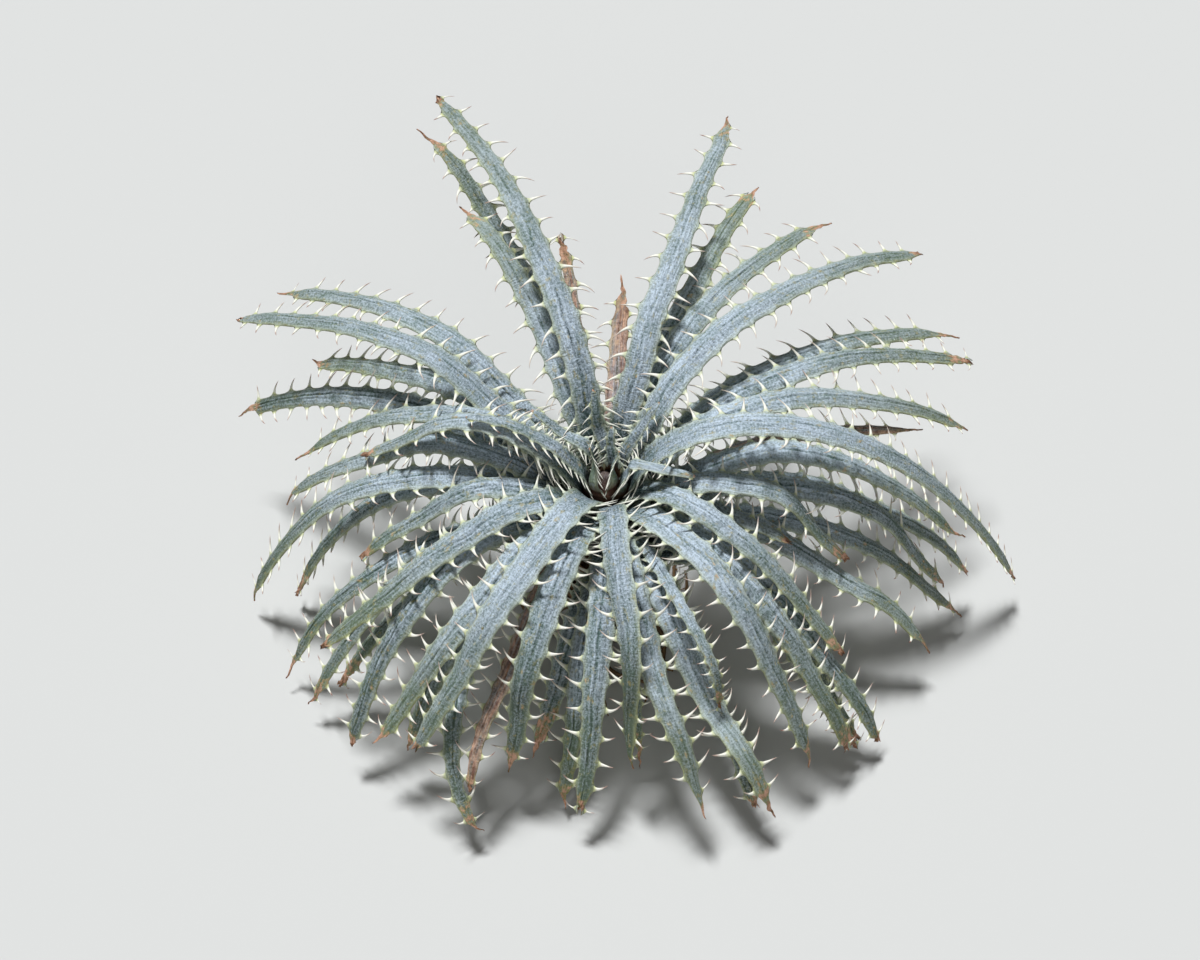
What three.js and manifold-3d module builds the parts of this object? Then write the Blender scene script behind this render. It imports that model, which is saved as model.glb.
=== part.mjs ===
// A dyckia: a rosette of thick, spiny leaves on a short rooted stock.
// Millimetres, +Z up. The origin is the middle of the stock's cut foot, which rests on the surface.
import * as THREE from 'three';
import { mergeVertices } from 'three/addons/utils/BufferGeometryUtils.js';
import Module from 'manifold-3d';

const wasm = await Module();
wasm.setup();

const { lerp, smoothstep } = THREE.MathUtils;

// ---------------------------------------------------------------- driving dimensions
// Stock and heart
const FOOT_RADIUS = 14;            // cut foot of the stock
const STOCK_RADIUS = 17;           // widest part of the stock, where the oldest leaves sit
const STOCK_TOP_RADIUS = 7;        // under the heart
const LEAVES_FROM = 48;            // height of the oldest leaf's base
const STOCK_TOP = 80;              // height where the heart starts
const HEART_RADIUS = 6.3;
const HEART_SHOULDER = [5.6, 87];  // radius and height where the heart's core starts to narrow
const HEART_TOP_RADIUS = 1.6;
const HEART_FOOT_RADIUS = 4;       // inside the core, where the outermost young leaf starts
const HEART_TOP = 96;
const GAP = 0.3;                   // left between two solids that touch

// Blades
const BEND_SHARPNESS = 1.6;        // the higher, the shorter the stretch over which a leaf bends most
const LINE_STEPS = 28;             // steps of a leaf's middle line
const BASE_SHARE = 0.46;           // the narrow foot of a leaf on the stock, a share of its width
const SWELL = [0.03, 0.24];        // shares of the length between which a blade widens
const TAPER = 0.46;                // the share of its width that a blade loses towards its tip
const TAPER_FROM = 0.35;
const TAPER_TO = 1.05;
const POINT_LENGTH = 0.08;         // the rounded end, a share of the length
const BLADE_THICKNESS = 2.8;       // at the midrib, of a leaf FULL_WIDTH wide
const FULL_WIDTH = 9;
const THINNEST = 1.2;
const THINNING = 0.55;             // the share of its thickness that a blade loses towards its tip
const FOOT_THINNING = 0.6;
const BASE_HOLLOW = 0.12;          // near the base the midrib lies this share of half the width below the margins
const CROWN = 0.16;                // and further out it stands this share above them
const ROUNDING = [0.1, 0.4];       // shares of the length between which the one becomes the other

// Spines
const SPINE_LENGTH = 7;
const SPINE_SPACING = 19;
const SPINE_HALF_FOOT = 2.4;       // half the length of margin that a spine grows from
const SPINE_LEAN = 2;              // a spine's point leans back towards the leaf's base
const SPINE_RISE = 1.4;            // and stands a little above the blade
const SPINE_SHARES = [1, 0.7, 0.45]; // of a spine's full length, for crowded ones
const SPINE_CLEARANCE = 3.6;       // from a spine to the middle of a neighbour's blade
const SPINES_APART = 2.2;
const SLIM_LEAF = 6;               // leaves slimmer than this have spines of half the length
const FEWEST_SPINES = 3;
const BARE_BASE = 0.2;             // the share of a leaf's length without spines
const BARE_TIP = 0.95;

// Leaves lying on each other
const SPREAD_ROUNDS = 60;
const SPREAD_REACH = 20;
const SPREAD_FORCE = 0.5;
const SPREAD_BLUR = 14;            // passes that share a push with the points round it
const PUSH_REACH = 0.6;            // along a leaf, a share of the longer one's steps
const CLEAR_OVER = 4.6;            // from the middle of a leaf to the middle of one lying on it
const CLEAR_UNDER = 8;             // a leaf further under than this isn't lying on it
const HELD_LENGTH = 10;            // from its foot, over which a leaf can't move freely

// Stock details
const STOCK_SIDES = 14;
const SCAR_RINGS = 7;              // rings left by shed leaves
const SCAR_FROM = 3;
const SCAR_DEPTH = 0.5;
const SCAR_HEIGHT = 3;
const STUB_COUNT = 14;             // dried remains of leaf bases
const STUB_LENGTH = 17;
const STUB_WIDTH = 10;
const STUB_FROM = 12;
const STUB_BEND = 0.3;
const ROOT_COUNT = 16;
const ROOT_SIDES = 5;
const ROOT_STEPS = 8;
const ROOT_RADIUS = 1.1;
const ROOT_THINNING = 0.35;
const ROOT_REACH = 46;
const SEED = 41;

const LEAF_COLOUR = 0x9fb0b0;
const DRY_COLOUR = 0x9a7a5c;
const STOCK_COLOUR = 0x6b5140;

const GOLDEN_ANGLE = 137.508;
const DEG = Math.PI / 180;

// Every leaf, the oldest and lowest first. Azimuth: 0 is +X, 90 is +Y (degrees). Length and width in mm.
// Lift and fall: the slope of the leaf at its base and at its tip. Bend: the share of its length where
// half of that turn is made. Sweep: how far it bends sideways. Twist: how far its tip is turned about
// its own length.
const LEAVES = [
  { azimuth: 357, length: 168, lift: 78, fall: -54, bend: 0.28, sweep: 0, twist: 0, width: 10 },
  { azimuth: 256, length: 86, lift: 62, fall: -50, bend: 0.25, sweep: -22, twist: 0, width: 10 },
  { azimuth: 100, length: 112, lift: 76, fall: 24, bend: 0.35, sweep: 0, twist: 0, width: 7.5, dry: true },
  { azimuth: 327, length: 142, lift: 72, fall: -60, bend: 0.3, sweep: 0, twist: 0, width: 9 },
  { azimuth: 192, length: 166, lift: 82, fall: -66, bend: 0.33, sweep: 12, twist: 0, width: 9 },
  { azimuth: 22, length: 142, lift: 78, fall: -32, bend: 0.3, sweep: 0, twist: 0, width: 7.5, dry: true },
  { azimuth: 262, length: 112, lift: 74, fall: -62, bend: 0.22, sweep: -9, twist: 0, width: 9 },
  { azimuth: 155, length: 187, lift: 85, fall: -44, bend: 0.33, sweep: 0, twist: -35, width: 11 },
  { azimuth: 347, length: 155, lift: 80, fall: -56, bend: 0.3, sweep: 0, twist: 0, width: 11 },
  { azimuth: 203, length: 132, lift: 70, fall: -60, bend: 0.3, sweep: 0, twist: 0, width: 9 },
  { azimuth: 85, length: 95, lift: 78, fall: 12, bend: 0.35, sweep: 0, twist: 0, width: 9, dry: true },
  { azimuth: 301, length: 138, lift: 76, fall: -64, bend: 0.28, sweep: 0, twist: 0, width: 10 },
  { azimuth: 176, length: 169, lift: 84, fall: -72, bend: 0.35, sweep: 10, twist: 0, width: 11 },
  { azimuth: 4, length: 184, lift: 84, fall: -62, bend: 0.35, sweep: -6, twist: 0, width: 11 },
  { azimuth: 222, length: 158, lift: 72, fall: -58, bend: 0.3, sweep: 98, twist: 0, width: 9 },
  { azimuth: 107, length: 170, lift: 78, fall: 16, bend: 0.35, sweep: 38, twist: 0, width: 10 },
  { azimuth: 324, length: 150, lift: 78, fall: -64, bend: 0.28, sweep: 0, twist: 0, width: 10 },
  { azimuth: 200, length: 158, lift: 80, fall: -62, bend: 0.28, sweep: 14, twist: 0, width: 9 },
  { azimuth: 35, length: 182, lift: 86, fall: -31, bend: 0.33, sweep: -12, twist: 0, width: 11 },
  { azimuth: 280, length: 116, lift: 84, fall: -80, bend: 0.26, sweep: 0, twist: 0, width: 5 },
  { azimuth: 146, length: 157, lift: 82, fall: -37, bend: 0.33, sweep: 0, twist: -15, width: 11 },
  { azimuth: 359, length: 168, lift: 82, fall: -62, bend: 0.33, sweep: -4, twist: 0, width: 11 },
  { azimuth: 225, length: 138, lift: 80, fall: -66, bend: 0.3, sweep: 0, twist: 0, width: 11 },
  { azimuth: 66, length: 148, lift: 86, fall: 2, bend: 0.35, sweep: -10, twist: 0, width: 11 },
  { azimuth: 297, length: 152, lift: 78, fall: -60, bend: 0.27, sweep: 18, twist: 0, width: 12 },
  { azimuth: 177, length: 198, lift: 84, fall: -70, bend: 0.34, sweep: 12, twist: 0, width: 11 },
  { azimuth: 29, length: 181, lift: 84, fall: -32, bend: 0.33, sweep: -10, twist: 0, width: 11 },
  { azimuth: 269, length: 126, lift: 76, fall: -60, bend: 0.23, sweep: -18, twist: 0, width: 11 },
  { azimuth: 139, length: 185, lift: 88, fall: -31, bend: 0.36, sweep: 14, twist: 0, width: 11 },
  { azimuth: 328, length: 169, lift: 84, fall: -66, bend: 0.27, sweep: 0, twist: 0, width: 11 },
  { azimuth: 208, length: 158, lift: 80, fall: -62, bend: 0.28, sweep: 34, twist: 0, width: 11 },
  { azimuth: 60, length: 155, lift: 84, fall: -8, bend: 0.35, sweep: -28, twist: 0, width: 11 },
  { azimuth: 299, length: 112, lift: 84, fall: -76, bend: 0.26, sweep: 0, twist: 0, width: 5 },
  { azimuth: 169, length: 158, lift: 86, fall: -54, bend: 0.35, sweep: 4, twist: 0, width: 11 },
  { azimuth: 5, length: 178, lift: 84, fall: -58, bend: 0.35, sweep: -5, twist: 0, width: 11 },
  { azimuth: 243, length: 138, lift: 76, fall: -64, bend: 0.28, sweep: -15, twist: 0, width: 7.5, dry: true },
  { azimuth: 344, length: 73, lift: 82, fall: -38, bend: 0.34, sweep: 4, twist: 0, width: 7.5 },
  { azimuth: 113, length: 134, lift: 80, fall: 2, bend: 0.35, sweep: 20, twist: 0, width: 11 },
  { azimuth: 321, length: 162, lift: 84, fall: -68, bend: 0.28, sweep: 0, twist: 0, width: 11 },
  { azimuth: 189, length: 108, lift: 88, fall: -50, bend: 0.3, sweep: -2, twist: 0, width: 10 },
  { azimuth: 18, length: 182, lift: 85, fall: -46, bend: 0.35, sweep: -2, twist: 0, width: 11 },
  { azimuth: 282, length: 144, lift: 81, fall: -58, bend: 0.23, sweep: 30, twist: 0, width: 11 },
  { azimuth: 150, length: 190, lift: 86, fall: -31, bend: 0.34, sweep: 4, twist: 0, width: 11 },
  { azimuth: 350, length: 112, lift: 84, fall: -62, bend: 0.36, sweep: 2, twist: 0, width: 10 },
  { azimuth: 228, length: 141, lift: 73, fall: -53, bend: 0.24, sweep: -20, twist: 0, width: 12 },
  { azimuth: 69, length: 174, lift: 88, fall: -4, bend: 0.35, sweep: 4, twist: 0, width: 11 },
  { azimuth: 312, length: 155, lift: 79, fall: -66, bend: 0.28, sweep: 7, twist: 0, width: 11 },
  { azimuth: 161, length: 160, lift: 90, fall: -54, bend: 0.34, sweep: 8, twist: 0, width: 10 },
  { azimuth: 249, length: 132, lift: 81, fall: -66, bend: 0.24, sweep: -6, twist: 0, width: 12 },
  { azimuth: 108, length: 187, lift: 88, fall: -4, bend: 0.35, sweep: 18, twist: 0, width: 11 },
  { azimuth: 329, length: 126, lift: 84, fall: -64, bend: 0.3, sweep: 4, twist: 0, width: 9.5 },
  { azimuth: 209, length: 136, lift: 77, fall: -44, bend: 0.23, sweep: -17, twist: 0, width: 11 },
  { azimuth: 44, length: 187, lift: 88, fall: -27, bend: 0.34, sweep: -14, twist: 0, width: 11 },
  { azimuth: 277, length: 125, lift: 82, fall: -66, bend: 0.23, sweep: -4, twist: 65, width: 11 },
  { azimuth: 170, length: 108, lift: 90, fall: -48, bend: 0.4, sweep: 4, twist: 0, width: 9 },
  { azimuth: 3, length: 236, lift: 89, fall: -66, bend: 0.3, sweep: -3, twist: 0, width: 11 },
  { azimuth: 237, length: 139, lift: 76, fall: -53, bend: 0.24, sweep: -22, twist: 0, width: 12 },
];

// The youngest leaves, grown together at the heart of the rosette, the outermost first.
const HEART_LEAVES = [
  { azimuth: 172, length: 60, lift: 84, fall: -34, bend: 0.35, sweep: 0, twist: 0, width: 6 },
  { azimuth: 345, length: 42, lift: 84, fall: -40, bend: 0.35, sweep: 10, twist: 0, width: 6 },
  { azimuth: 150, length: 42, lift: 86, fall: 8, bend: 0.35, sweep: 0, twist: 0, width: 5 },
  { azimuth: 38, length: 40, lift: 84, fall: 20, bend: 0.35, sweep: 0, twist: 0, width: 5 },
  { azimuth: 104, length: 40, lift: 86, fall: 58, bend: 0.4, sweep: 0, twist: 0, width: 5 },
  { azimuth: 196, length: 25, lift: 88, fall: 78, bend: 0.4, sweep: 0, twist: 0, width: 5 },
  { azimuth: 75, length: 24, lift: 86, fall: 62, bend: 0.4, sweep: 0, twist: 0, width: 4 },
  { azimuth: 350, length: 20, lift: 88, fall: 74, bend: 0.4, sweep: 0, twist: 0, width: 4 },
];

// ---------------------------------------------------------------- a leaf's middle line
function around(azimuth, radius, height) {
  return new THREE.Vector3(radius * Math.cos(azimuth * DEG), radius * Math.sin(azimuth * DEG), height);
}

// The foot of a leaf: older leaves sit lower and further out on the tapering stock.
function leafFoot(azimuth, age) {
  const radius = lerp(STOCK_TOP_RADIUS, STOCK_RADIUS, age) + GAP;
  return around(azimuth, radius, lerp(STOCK_TOP - 1, LEAVES_FROM, age));
}

// The foot of a leaf of the heart, inside the heart's core.
function heartFoot(azimuth, age) {
  const radius = lerp(HEART_TOP_RADIUS, HEART_FOOT_RADIUS, age);
  return around(azimuth, radius, lerp(HEART_TOP - 4, STOCK_TOP + 4, age));
}

function headingAt(leaf, along) {
  return leaf.azimuth + leaf.sweep * along * along;
}

// The share of a leaf's whole turn made at a share of its length: most of it is made round its bend.
function turnMade(leaf, along) {
  const place = (along / leaf.bend) ** BEND_SHARPNESS;
  const whole = (1 / leaf.bend) ** BEND_SHARPNESS;
  return (place / (1 + place)) * ((1 + whole) / whole);
}

// Points down the middle of a leaf, from a slope of lift at its base to a slope of fall at its tip.
function middleLine(leaf, foot) {
  const points = [foot];
  for (let i = 0; i < LINE_STEPS; i += 1) {
    const along = (i + 0.5) / LINE_STEPS;
    const slope = lerp(leaf.lift, leaf.fall, turnMade(leaf, along)) * DEG;
    const move = around(headingAt(leaf, along), Math.cos(slope), Math.sin(slope));
    points.push(points[i].clone().addScaledVector(move, leaf.length / LINE_STEPS));
  }
  return points;
}

function tangentAt(points, i) {
  return points[Math.min(i + 1, LINE_STEPS)].clone().sub(points[Math.max(i - 1, 0)]).normalize();
}

// The frame of a blade at a share of its length: where it is, and its three directions.
function frameAt(leaf, points, along) {
  const place = along * LINE_STEPS;
  const i = Math.min(Math.floor(place), LINE_STEPS - 1);
  const centre = points[i].clone().lerp(points[i + 1], place - i);
  const forward = tangentAt(points, i).lerp(tangentAt(points, i + 1), place - i).normalize();
  const side = around(headingAt(leaf, along) + 90, 1, 0);
  side.addScaledVector(forward, -side.dot(forward)).normalize();
  side.applyAxisAngle(forward, leaf.twist * along * DEG);
  return { centre, forward, side, up: forward.clone().cross(side) };
}

// Half the width of the blade: a narrow foot, widest from a quarter on, then a slow taper to a short point.
function halfWidth(leaf, along) {
  const taper = 1 - TAPER * smoothstep(along, TAPER_FROM, TAPER_TO);
  const point = Math.sqrt(Math.min(1, (1 - along) / POINT_LENGTH));
  const full = (leaf.width / 2) * taper * point;
  return full * lerp(BASE_SHARE, 1, smoothstep(along, ...SWELL));
}

function thickness(leaf, along) {
  const foot = lerp(FOOT_THINNING, 1, smoothstep(along, 0, SWELL[0]));
  const size = Math.min(1, leaf.width / FULL_WIDTH);
  return Math.max(THINNEST, BLADE_THICKNESS * foot * size * (1 - THINNING * along));
}

// ---------------------------------------------------------------- leaves lying on each other
// Leaves that grew one over the other lie clear of each other: the younger on the older one's upper side.
function spreadLines(leaves, lines) {
  for (let round = 0; round < SPREAD_ROUNDS; round += 1) {
    const pushes = lines.map((line) => line.map(() => new THREE.Vector3()));
    for (let older = 0; older < leaves.length; older += 1) {
      for (let younger = older + 1; younger < leaves.length; younger += 1) {
        pushApart(leaves, lines, pushes, older, younger);
      }
    }
    lines.forEach((line, i) => moveLine(leaves[i], line, pushes[i]));
  }
}

function pushApart(leaves, lines, pushes, older, younger) {
  const olderStep = leaves[older].length / LINE_STEPS;
  const youngerStep = leaves[younger].length / LINE_STEPS;
  const reach = PUSH_REACH * Math.max(olderStep, youngerStep);
  for (let i = 2; i <= LINE_STEPS; i += 1) {
    const { centre, forward, side, up } = frameAt(leaves[older], lines[older], i / LINE_STEPS);
    for (let j = 2; j <= LINE_STEPS; j += 1) {
      const apart = lines[younger][j].clone().sub(centre);
      if (apart.length() < SPREAD_REACH) {
        const over = apart.dot(up);
        const widths = halfWidth(leaves[older], i / LINE_STEPS) + halfWidth(leaves[younger], j / LINE_STEPS) + 1;
        const beside = Math.abs(apart.dot(forward)) < reach && Math.abs(apart.dot(side)) < widths;
        if (beside && over < CLEAR_OVER && over > -CLEAR_UNDER) {
          const push = ((CLEAR_OVER - over) * SPREAD_FORCE) / (2 * reach);
          pushes[younger][j].addScaledVector(up, push * olderStep);
          pushes[older][i].addScaledVector(up, -push * youngerStep);
        }
      }
    }
  }
}

// Moves a middle line by its pushes, blurred along the line, with its foot held still.
function moveLine(leaf, line, pushes) {
  let smooth = pushes;
  for (let pass = 0; pass < SPREAD_BLUR; pass += 1) {
    smooth = smooth.map((push, i) => {
      const before = smooth[Math.max(i - 1, 0)];
      const after = smooth[Math.min(i + 1, LINE_STEPS)];
      return push.clone().multiplyScalar(2).add(before).add(after).multiplyScalar(0.25);
    });
  }
  const step = leaf.length / LINE_STEPS;
  line.forEach((point, i) => point.addScaledVector(smooth[i], Math.min(1, (i * step) / HELD_LENGTH)));
}

// ---------------------------------------------------------------- spines
function spineStations(leaf) {
  const bladeLength = leaf.length * (BARE_TIP - BARE_BASE);
  const count = Math.max(FEWEST_SPINES, Math.round(bladeLength / SPINE_SPACING));
  return Array.from({ length: count }, (unused, i) => lerp(BARE_BASE, BARE_TIP, (i + 0.5) / count));
}

// A spine's root on the margin and its point, at a share of its full length.
function spineLine(leaf, points, along, hand, share) {
  const { centre, forward, side, up } = frameAt(leaf, points, along);
  const size = share * (leaf.width < SLIM_LEAF ? 0.5 : 1);
  const root = centre.clone().addScaledVector(side, hand * halfWidth(leaf, along));
  const tip = root.clone()
    .addScaledVector(side, hand * SPINE_LENGTH * size)
    .addScaledVector(forward, -SPINE_LEAN * size)
    .addScaledVector(up, SPINE_RISE * size);
  return { root, tip };
}

// Points spread over a blade, used to keep spines off it.
function bladeCloud(leaf, points) {
  const cloud = [];
  for (let along = 0.02; along < 1; along += 5 / leaf.length) {
    const { centre, side, up } = frameAt(leaf, points, along);
    for (const across of [-1, -0.5, 0, 0.5, 1]) {
      cloud.push(centre.clone()
        .addScaledVector(side, across * halfWidth(leaf, along))
        .addScaledVector(up, -0.4 * thickness(leaf, along)));
    }
  }
  return cloud;
}

function near(point, cloud, distance) {
  const limit = distance * distance;
  return cloud.some((other) => point.distanceToSquared(other) < limit);
}

// ---------------------------------------------------------------- solids
function solidOf(geometry) {
  const bare = geometry.clone();
  bare.deleteAttribute('normal');
  bare.deleteAttribute('uv');
  const merged = mergeVertices(bare, 1e-4);
  return new wasm.Manifold(new wasm.Mesh({
    numProp: 3,
    vertProperties: new Float32Array(merged.attributes.position.array),
    triVerts: new Uint32Array(merged.index.array),
  }));
}

function geometryOf(solid) {
  const mesh = solid.getMesh();
  const geometry = new THREE.BufferGeometry();
  geometry.setAttribute('position', new THREE.BufferAttribute(mesh.vertProperties, 3));
  geometry.setIndex(new THREE.BufferAttribute(mesh.triVerts, 1));
  geometry.computeVertexNormals();
  return geometry;
}

// Closed skin over rings of equal size, with a fan over each end. A blade's left half has its
// diagonals the other way from its right half, so that its upper and lower faces are split alike.
function loft(rings, start, end) {
  const size = rings[0].length;
  const corners = [start, ...rings.flat(), end];
  const at = (ring, i) => 1 + ring * size + (i % size);
  const index = [];
  for (let i = 0; i < size; i += 1) {
    index.push(0, at(0, i), at(0, i + 1));
    index.push(corners.length - 1, at(rings.length - 1, i + 1), at(rings.length - 1, i));
  }
  for (let ring = 0; ring < rings.length - 1; ring += 1) {
    for (let i = 0; i < size; i += 1) {
      const [a, b, c, d] = [at(ring, i), at(ring, i + 1), at(ring + 1, i), at(ring + 1, i + 1)];
      if (i === 1 || i === 2) {
        index.push(a, c, b, b, c, d);
      } else {
        index.push(a, d, b, a, c, d);
      }
    }
  }
  const geometry = new THREE.BufferGeometry();
  geometry.setAttribute('position', new THREE.Float32BufferAttribute(corners.flatMap((p) => p.toArray()), 3));
  geometry.setIndex(index);
  return geometry;
}

// One ring of a blade: right margin, midrib above, left margin, keel below. Where a spine grows, its
// point takes the margin's place.
function bladeRing(leaf, points, along, tips) {
  const { centre, side, up } = frameAt(leaf, points, along);
  const half = halfWidth(leaf, along);
  const midrib = half * lerp(-BASE_HOLLOW, CROWN, smoothstep(along, ...ROUNDING));
  const margin = (hand) => tips?.[hand] ?? centre.clone().addScaledVector(side, hand * half);
  return [
    margin(-1),
    centre.clone().addScaledVector(up, midrib),
    margin(1),
    centre.clone().addScaledVector(up, midrib - thickness(leaf, along)),
  ];
}

function bladeGeometry(leaf, points, teeth) {
  const rings = [0, 0.07, 0.14].map((along) => bladeRing(leaf, points, along));
  const halfFoot = SPINE_HALF_FOOT / leaf.length;
  for (const { along, tips } of teeth) {
    rings.push(bladeRing(leaf, points, along - halfFoot));
    rings.push(bladeRing(leaf, points, along, tips));
    rings.push(bladeRing(leaf, points, along + halfFoot));
  }
  rings.push(bladeRing(leaf, points, 0.98));
  const foot = frameAt(leaf, points, 0);
  return loft(rings, foot.centre.addScaledVector(foot.up, -1), points[LINE_STEPS]);
}

// ---------------------------------------------------------------- stock and roots
function latheOf(profile, sides) {
  return new THREE.LatheGeometry(profile.map(([radius, height]) => new THREE.Vector2(radius, height)), sides)
    .rotateX(Math.PI / 2);
}

// The stock: a cut foot, rings where old leaves were shed, then the cone that carries the leaves.
function stockSolid() {
  const profile = [[0, 0], [FOOT_RADIUS, 0]];
  for (let ring = 0; ring < SCAR_RINGS; ring += 1) {
    const height = SCAR_FROM + (ring * (LEAVES_FROM - 2 * SCAR_FROM)) / SCAR_RINGS;
    const radius = lerp(FOOT_RADIUS, STOCK_RADIUS - 1, ring / (SCAR_RINGS - 1));
    profile.push([radius + SCAR_DEPTH, height], [radius - SCAR_DEPTH, height + SCAR_HEIGHT]);
  }
  profile.push([STOCK_RADIUS, LEAVES_FROM - SCAR_FROM], [STOCK_RADIUS, LEAVES_FROM]);
  profile.push([STOCK_TOP_RADIUS, STOCK_TOP], [0, STOCK_TOP]);
  return solidOf(latheOf(profile, STOCK_SIDES));
}

// The short dried remains of a shed leaf's base, standing off the stock.
function stubSolid(index) {
  const share = (index + 0.5) / STUB_COUNT;
  const stub = {
    azimuth: index * GOLDEN_ANGLE,
    length: STUB_LENGTH,
    lift: lerp(20, 55, share),
    fall: lerp(-25, 25, share),
    bend: STUB_BEND,
    sweep: 0,
    twist: 0,
    width: STUB_WIDTH,
  };
  const height = lerp(STUB_FROM, LEAVES_FROM - 6, share);
  const foot = around(stub.azimuth, lerp(FOOT_RADIUS, STOCK_RADIUS, share) - 3, height);
  return solidOf(bladeGeometry(stub, middleLine(stub, foot), []));
}

// Points down a root: out of the stock, down to the surface and along it.
function rootLine(index, random) {
  const start = lerp(5, 25, random());
  const reach = ROOT_REACH * lerp(0.7, 1, random());
  const curl = 50 * (random() - 0.5);
  const points = [];
  for (let i = 0; i <= ROOT_STEPS; i += 1) {
    const along = i / ROOT_STEPS;
    const wave = 9 * Math.sin(7 * along + index);
    const azimuth = index * GOLDEN_ANGLE + curl * along * along + wave;
    const drop = Math.max(0, 1 - along / 0.55) ** 2;
    const height = ROOT_RADIUS + GAP + start * drop;
    points.push(around(azimuth, lerp(FOOT_RADIUS - 4, reach, along ** 0.9), height));
  }
  return points;
}

function rootSolid(points) {
  const rings = points.map((centre, i) => {
    const forward = points[Math.min(i + 1, ROOT_STEPS)].clone().sub(points[Math.max(i - 1, 0)]).normalize();
    const side = new THREE.Vector3(-forward.y, forward.x, 0).normalize();
    const up = forward.clone().cross(side);
    const radius = ROOT_RADIUS * (1 - (ROOT_THINNING * i) / ROOT_STEPS);
    return Array.from({ length: ROOT_SIDES }, (unused, corner) => {
      const turn = (corner / ROOT_SIDES) * 2 * Math.PI;
      return centre.clone()
        .addScaledVector(side, -radius * Math.cos(turn))
        .addScaledVector(up, radius * Math.sin(turn));
    });
  });
  return solidOf(loft(rings, points[0], points[ROOT_STEPS]));
}

function seededRandom(seed) {
  let state = seed;
  return () => {
    state = (state * 16807) % 2147483647;
    return state / 2147483647;
  };
}

function rootedStock() {
  const random = seededRandom(SEED);
  let solid = stockSolid();
  for (let i = 0; i < STUB_COUNT; i += 1) {
    solid = solid.add(stubSolid(i));
  }
  for (let i = 0; i < ROOT_COUNT; i += 1) {
    solid = solid.add(rootSolid(rootLine(i, random)));
  }
  return solid;
}

// ---------------------------------------------------------------- leaves and heart
const rosette = [...LEAVES, ...HEART_LEAVES];

// Age runs from 1 for the oldest leaf of a group to 0 for its youngest.
const lines = [
  ...LEAVES.map((leaf, i) => middleLine(leaf, leafFoot(leaf.azimuth, 1 - i / (LEAVES.length - 1)))),
  ...HEART_LEAVES.map((leaf, i) => middleLine(leaf, heartFoot(leaf.azimuth, 1 - i / (HEART_LEAVES.length - 1)))),
];
spreadLines(rosette, lines);

const clouds = rosette.map((leaf, i) => bladeCloud(leaf, lines[i]));
const spinePoints = rosette.map(() => []);

// The point of a spine. One that would touch a neighbour stays shorter, or is missing.
function spineTip(index, along, hand) {
  for (const share of SPINE_SHARES) {
    const { root, tip } = spineLine(rosette[index], lines[index], along, hand, share);
    const samples = [0.4, 0.7, 1].map((part) => root.clone().lerp(tip, part));
    const blocked = rosette.some((other, j) => j !== index && samples.some((sample) => (
      near(sample, clouds[j], SPINE_CLEARANCE) || near(sample, spinePoints[j], SPINES_APART))));
    if (!blocked) {
      spinePoints[index].push(...samples);
      return tip;
    }
  }
  return null;
}

function leafGeometry(leaf, index) {
  const teeth = spineStations(leaf).map((along) => ({
    along,
    tips: { [-1]: spineTip(index, along, -1), [1]: spineTip(index, along, 1) },
  }));
  return bladeGeometry(leaf, lines[index], teeth);
}

const leafGeometries = rosette.map(leafGeometry);

function heartSolid() {
  const foot = STOCK_TOP + GAP;
  const core = [[0, foot], [HEART_RADIUS, foot], HEART_SHOULDER, [HEART_TOP_RADIUS, HEART_TOP], [0, HEART_TOP]];
  const young = leafGeometries.slice(LEAVES.length);
  return young.reduce((solid, leaf) => solid.add(solidOf(leaf)), solidOf(latheOf(core, 8)));
}

// ---------------------------------------------------------------- the plant
const plant = new THREE.Group();

function add(name, geometry, colour, roughness) {
  const material = new THREE.MeshStandardMaterial({ color: colour, roughness, metalness: 0 });
  const mesh = new THREE.Mesh(geometry, material);
  mesh.name = name;
  plant.add(mesh);
}

LEAVES.forEach((leaf, i) => {
  const name = `leaf_${String(i + 1).padStart(2, '0')}`;
  add(name, leafGeometries[i], leaf.dry ? DRY_COLOUR : LEAF_COLOUR, 0.7);
});
add('heart', geometryOf(heartSolid()), LEAF_COLOUR, 0.7);
add('stock', geometryOf(rootedStock()), STOCK_COLOUR, 0.9);

export default plant;
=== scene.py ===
"""A dyckia: the visible surfaces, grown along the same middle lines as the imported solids.

The plant's lengths are in millimetres until a mesh is made, the stage's are in metres, and angles in degrees.
"""
import math
from collections import namedtuple

import bpy
import numpy as np
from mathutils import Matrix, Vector, kdtree


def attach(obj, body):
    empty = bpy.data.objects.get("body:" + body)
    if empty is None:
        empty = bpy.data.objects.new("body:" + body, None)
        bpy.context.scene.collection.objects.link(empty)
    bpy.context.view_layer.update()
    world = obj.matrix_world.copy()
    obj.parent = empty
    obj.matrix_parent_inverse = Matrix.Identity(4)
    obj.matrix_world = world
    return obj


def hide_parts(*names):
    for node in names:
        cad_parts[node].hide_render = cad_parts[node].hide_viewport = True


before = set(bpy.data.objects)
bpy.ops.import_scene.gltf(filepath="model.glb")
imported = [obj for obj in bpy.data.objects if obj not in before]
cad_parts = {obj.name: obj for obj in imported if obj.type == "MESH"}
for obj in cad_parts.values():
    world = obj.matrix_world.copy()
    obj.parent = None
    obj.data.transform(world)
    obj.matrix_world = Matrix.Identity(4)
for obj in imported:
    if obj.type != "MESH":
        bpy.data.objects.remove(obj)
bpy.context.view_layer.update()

# ---- the plant's sizes, as in its solids
STOCK_RADIUS = 17  # at the oldest leaves
STOCK_TOP_RADIUS = 7
FOOT_RADIUS = 14
LEAVES_FROM = 48  # height of the oldest leaf's foot
STOCK_TOP = 80
YOUNGEST_BELOW = 1  # the youngest full-grown leaf's foot, under the stock's top
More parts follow.
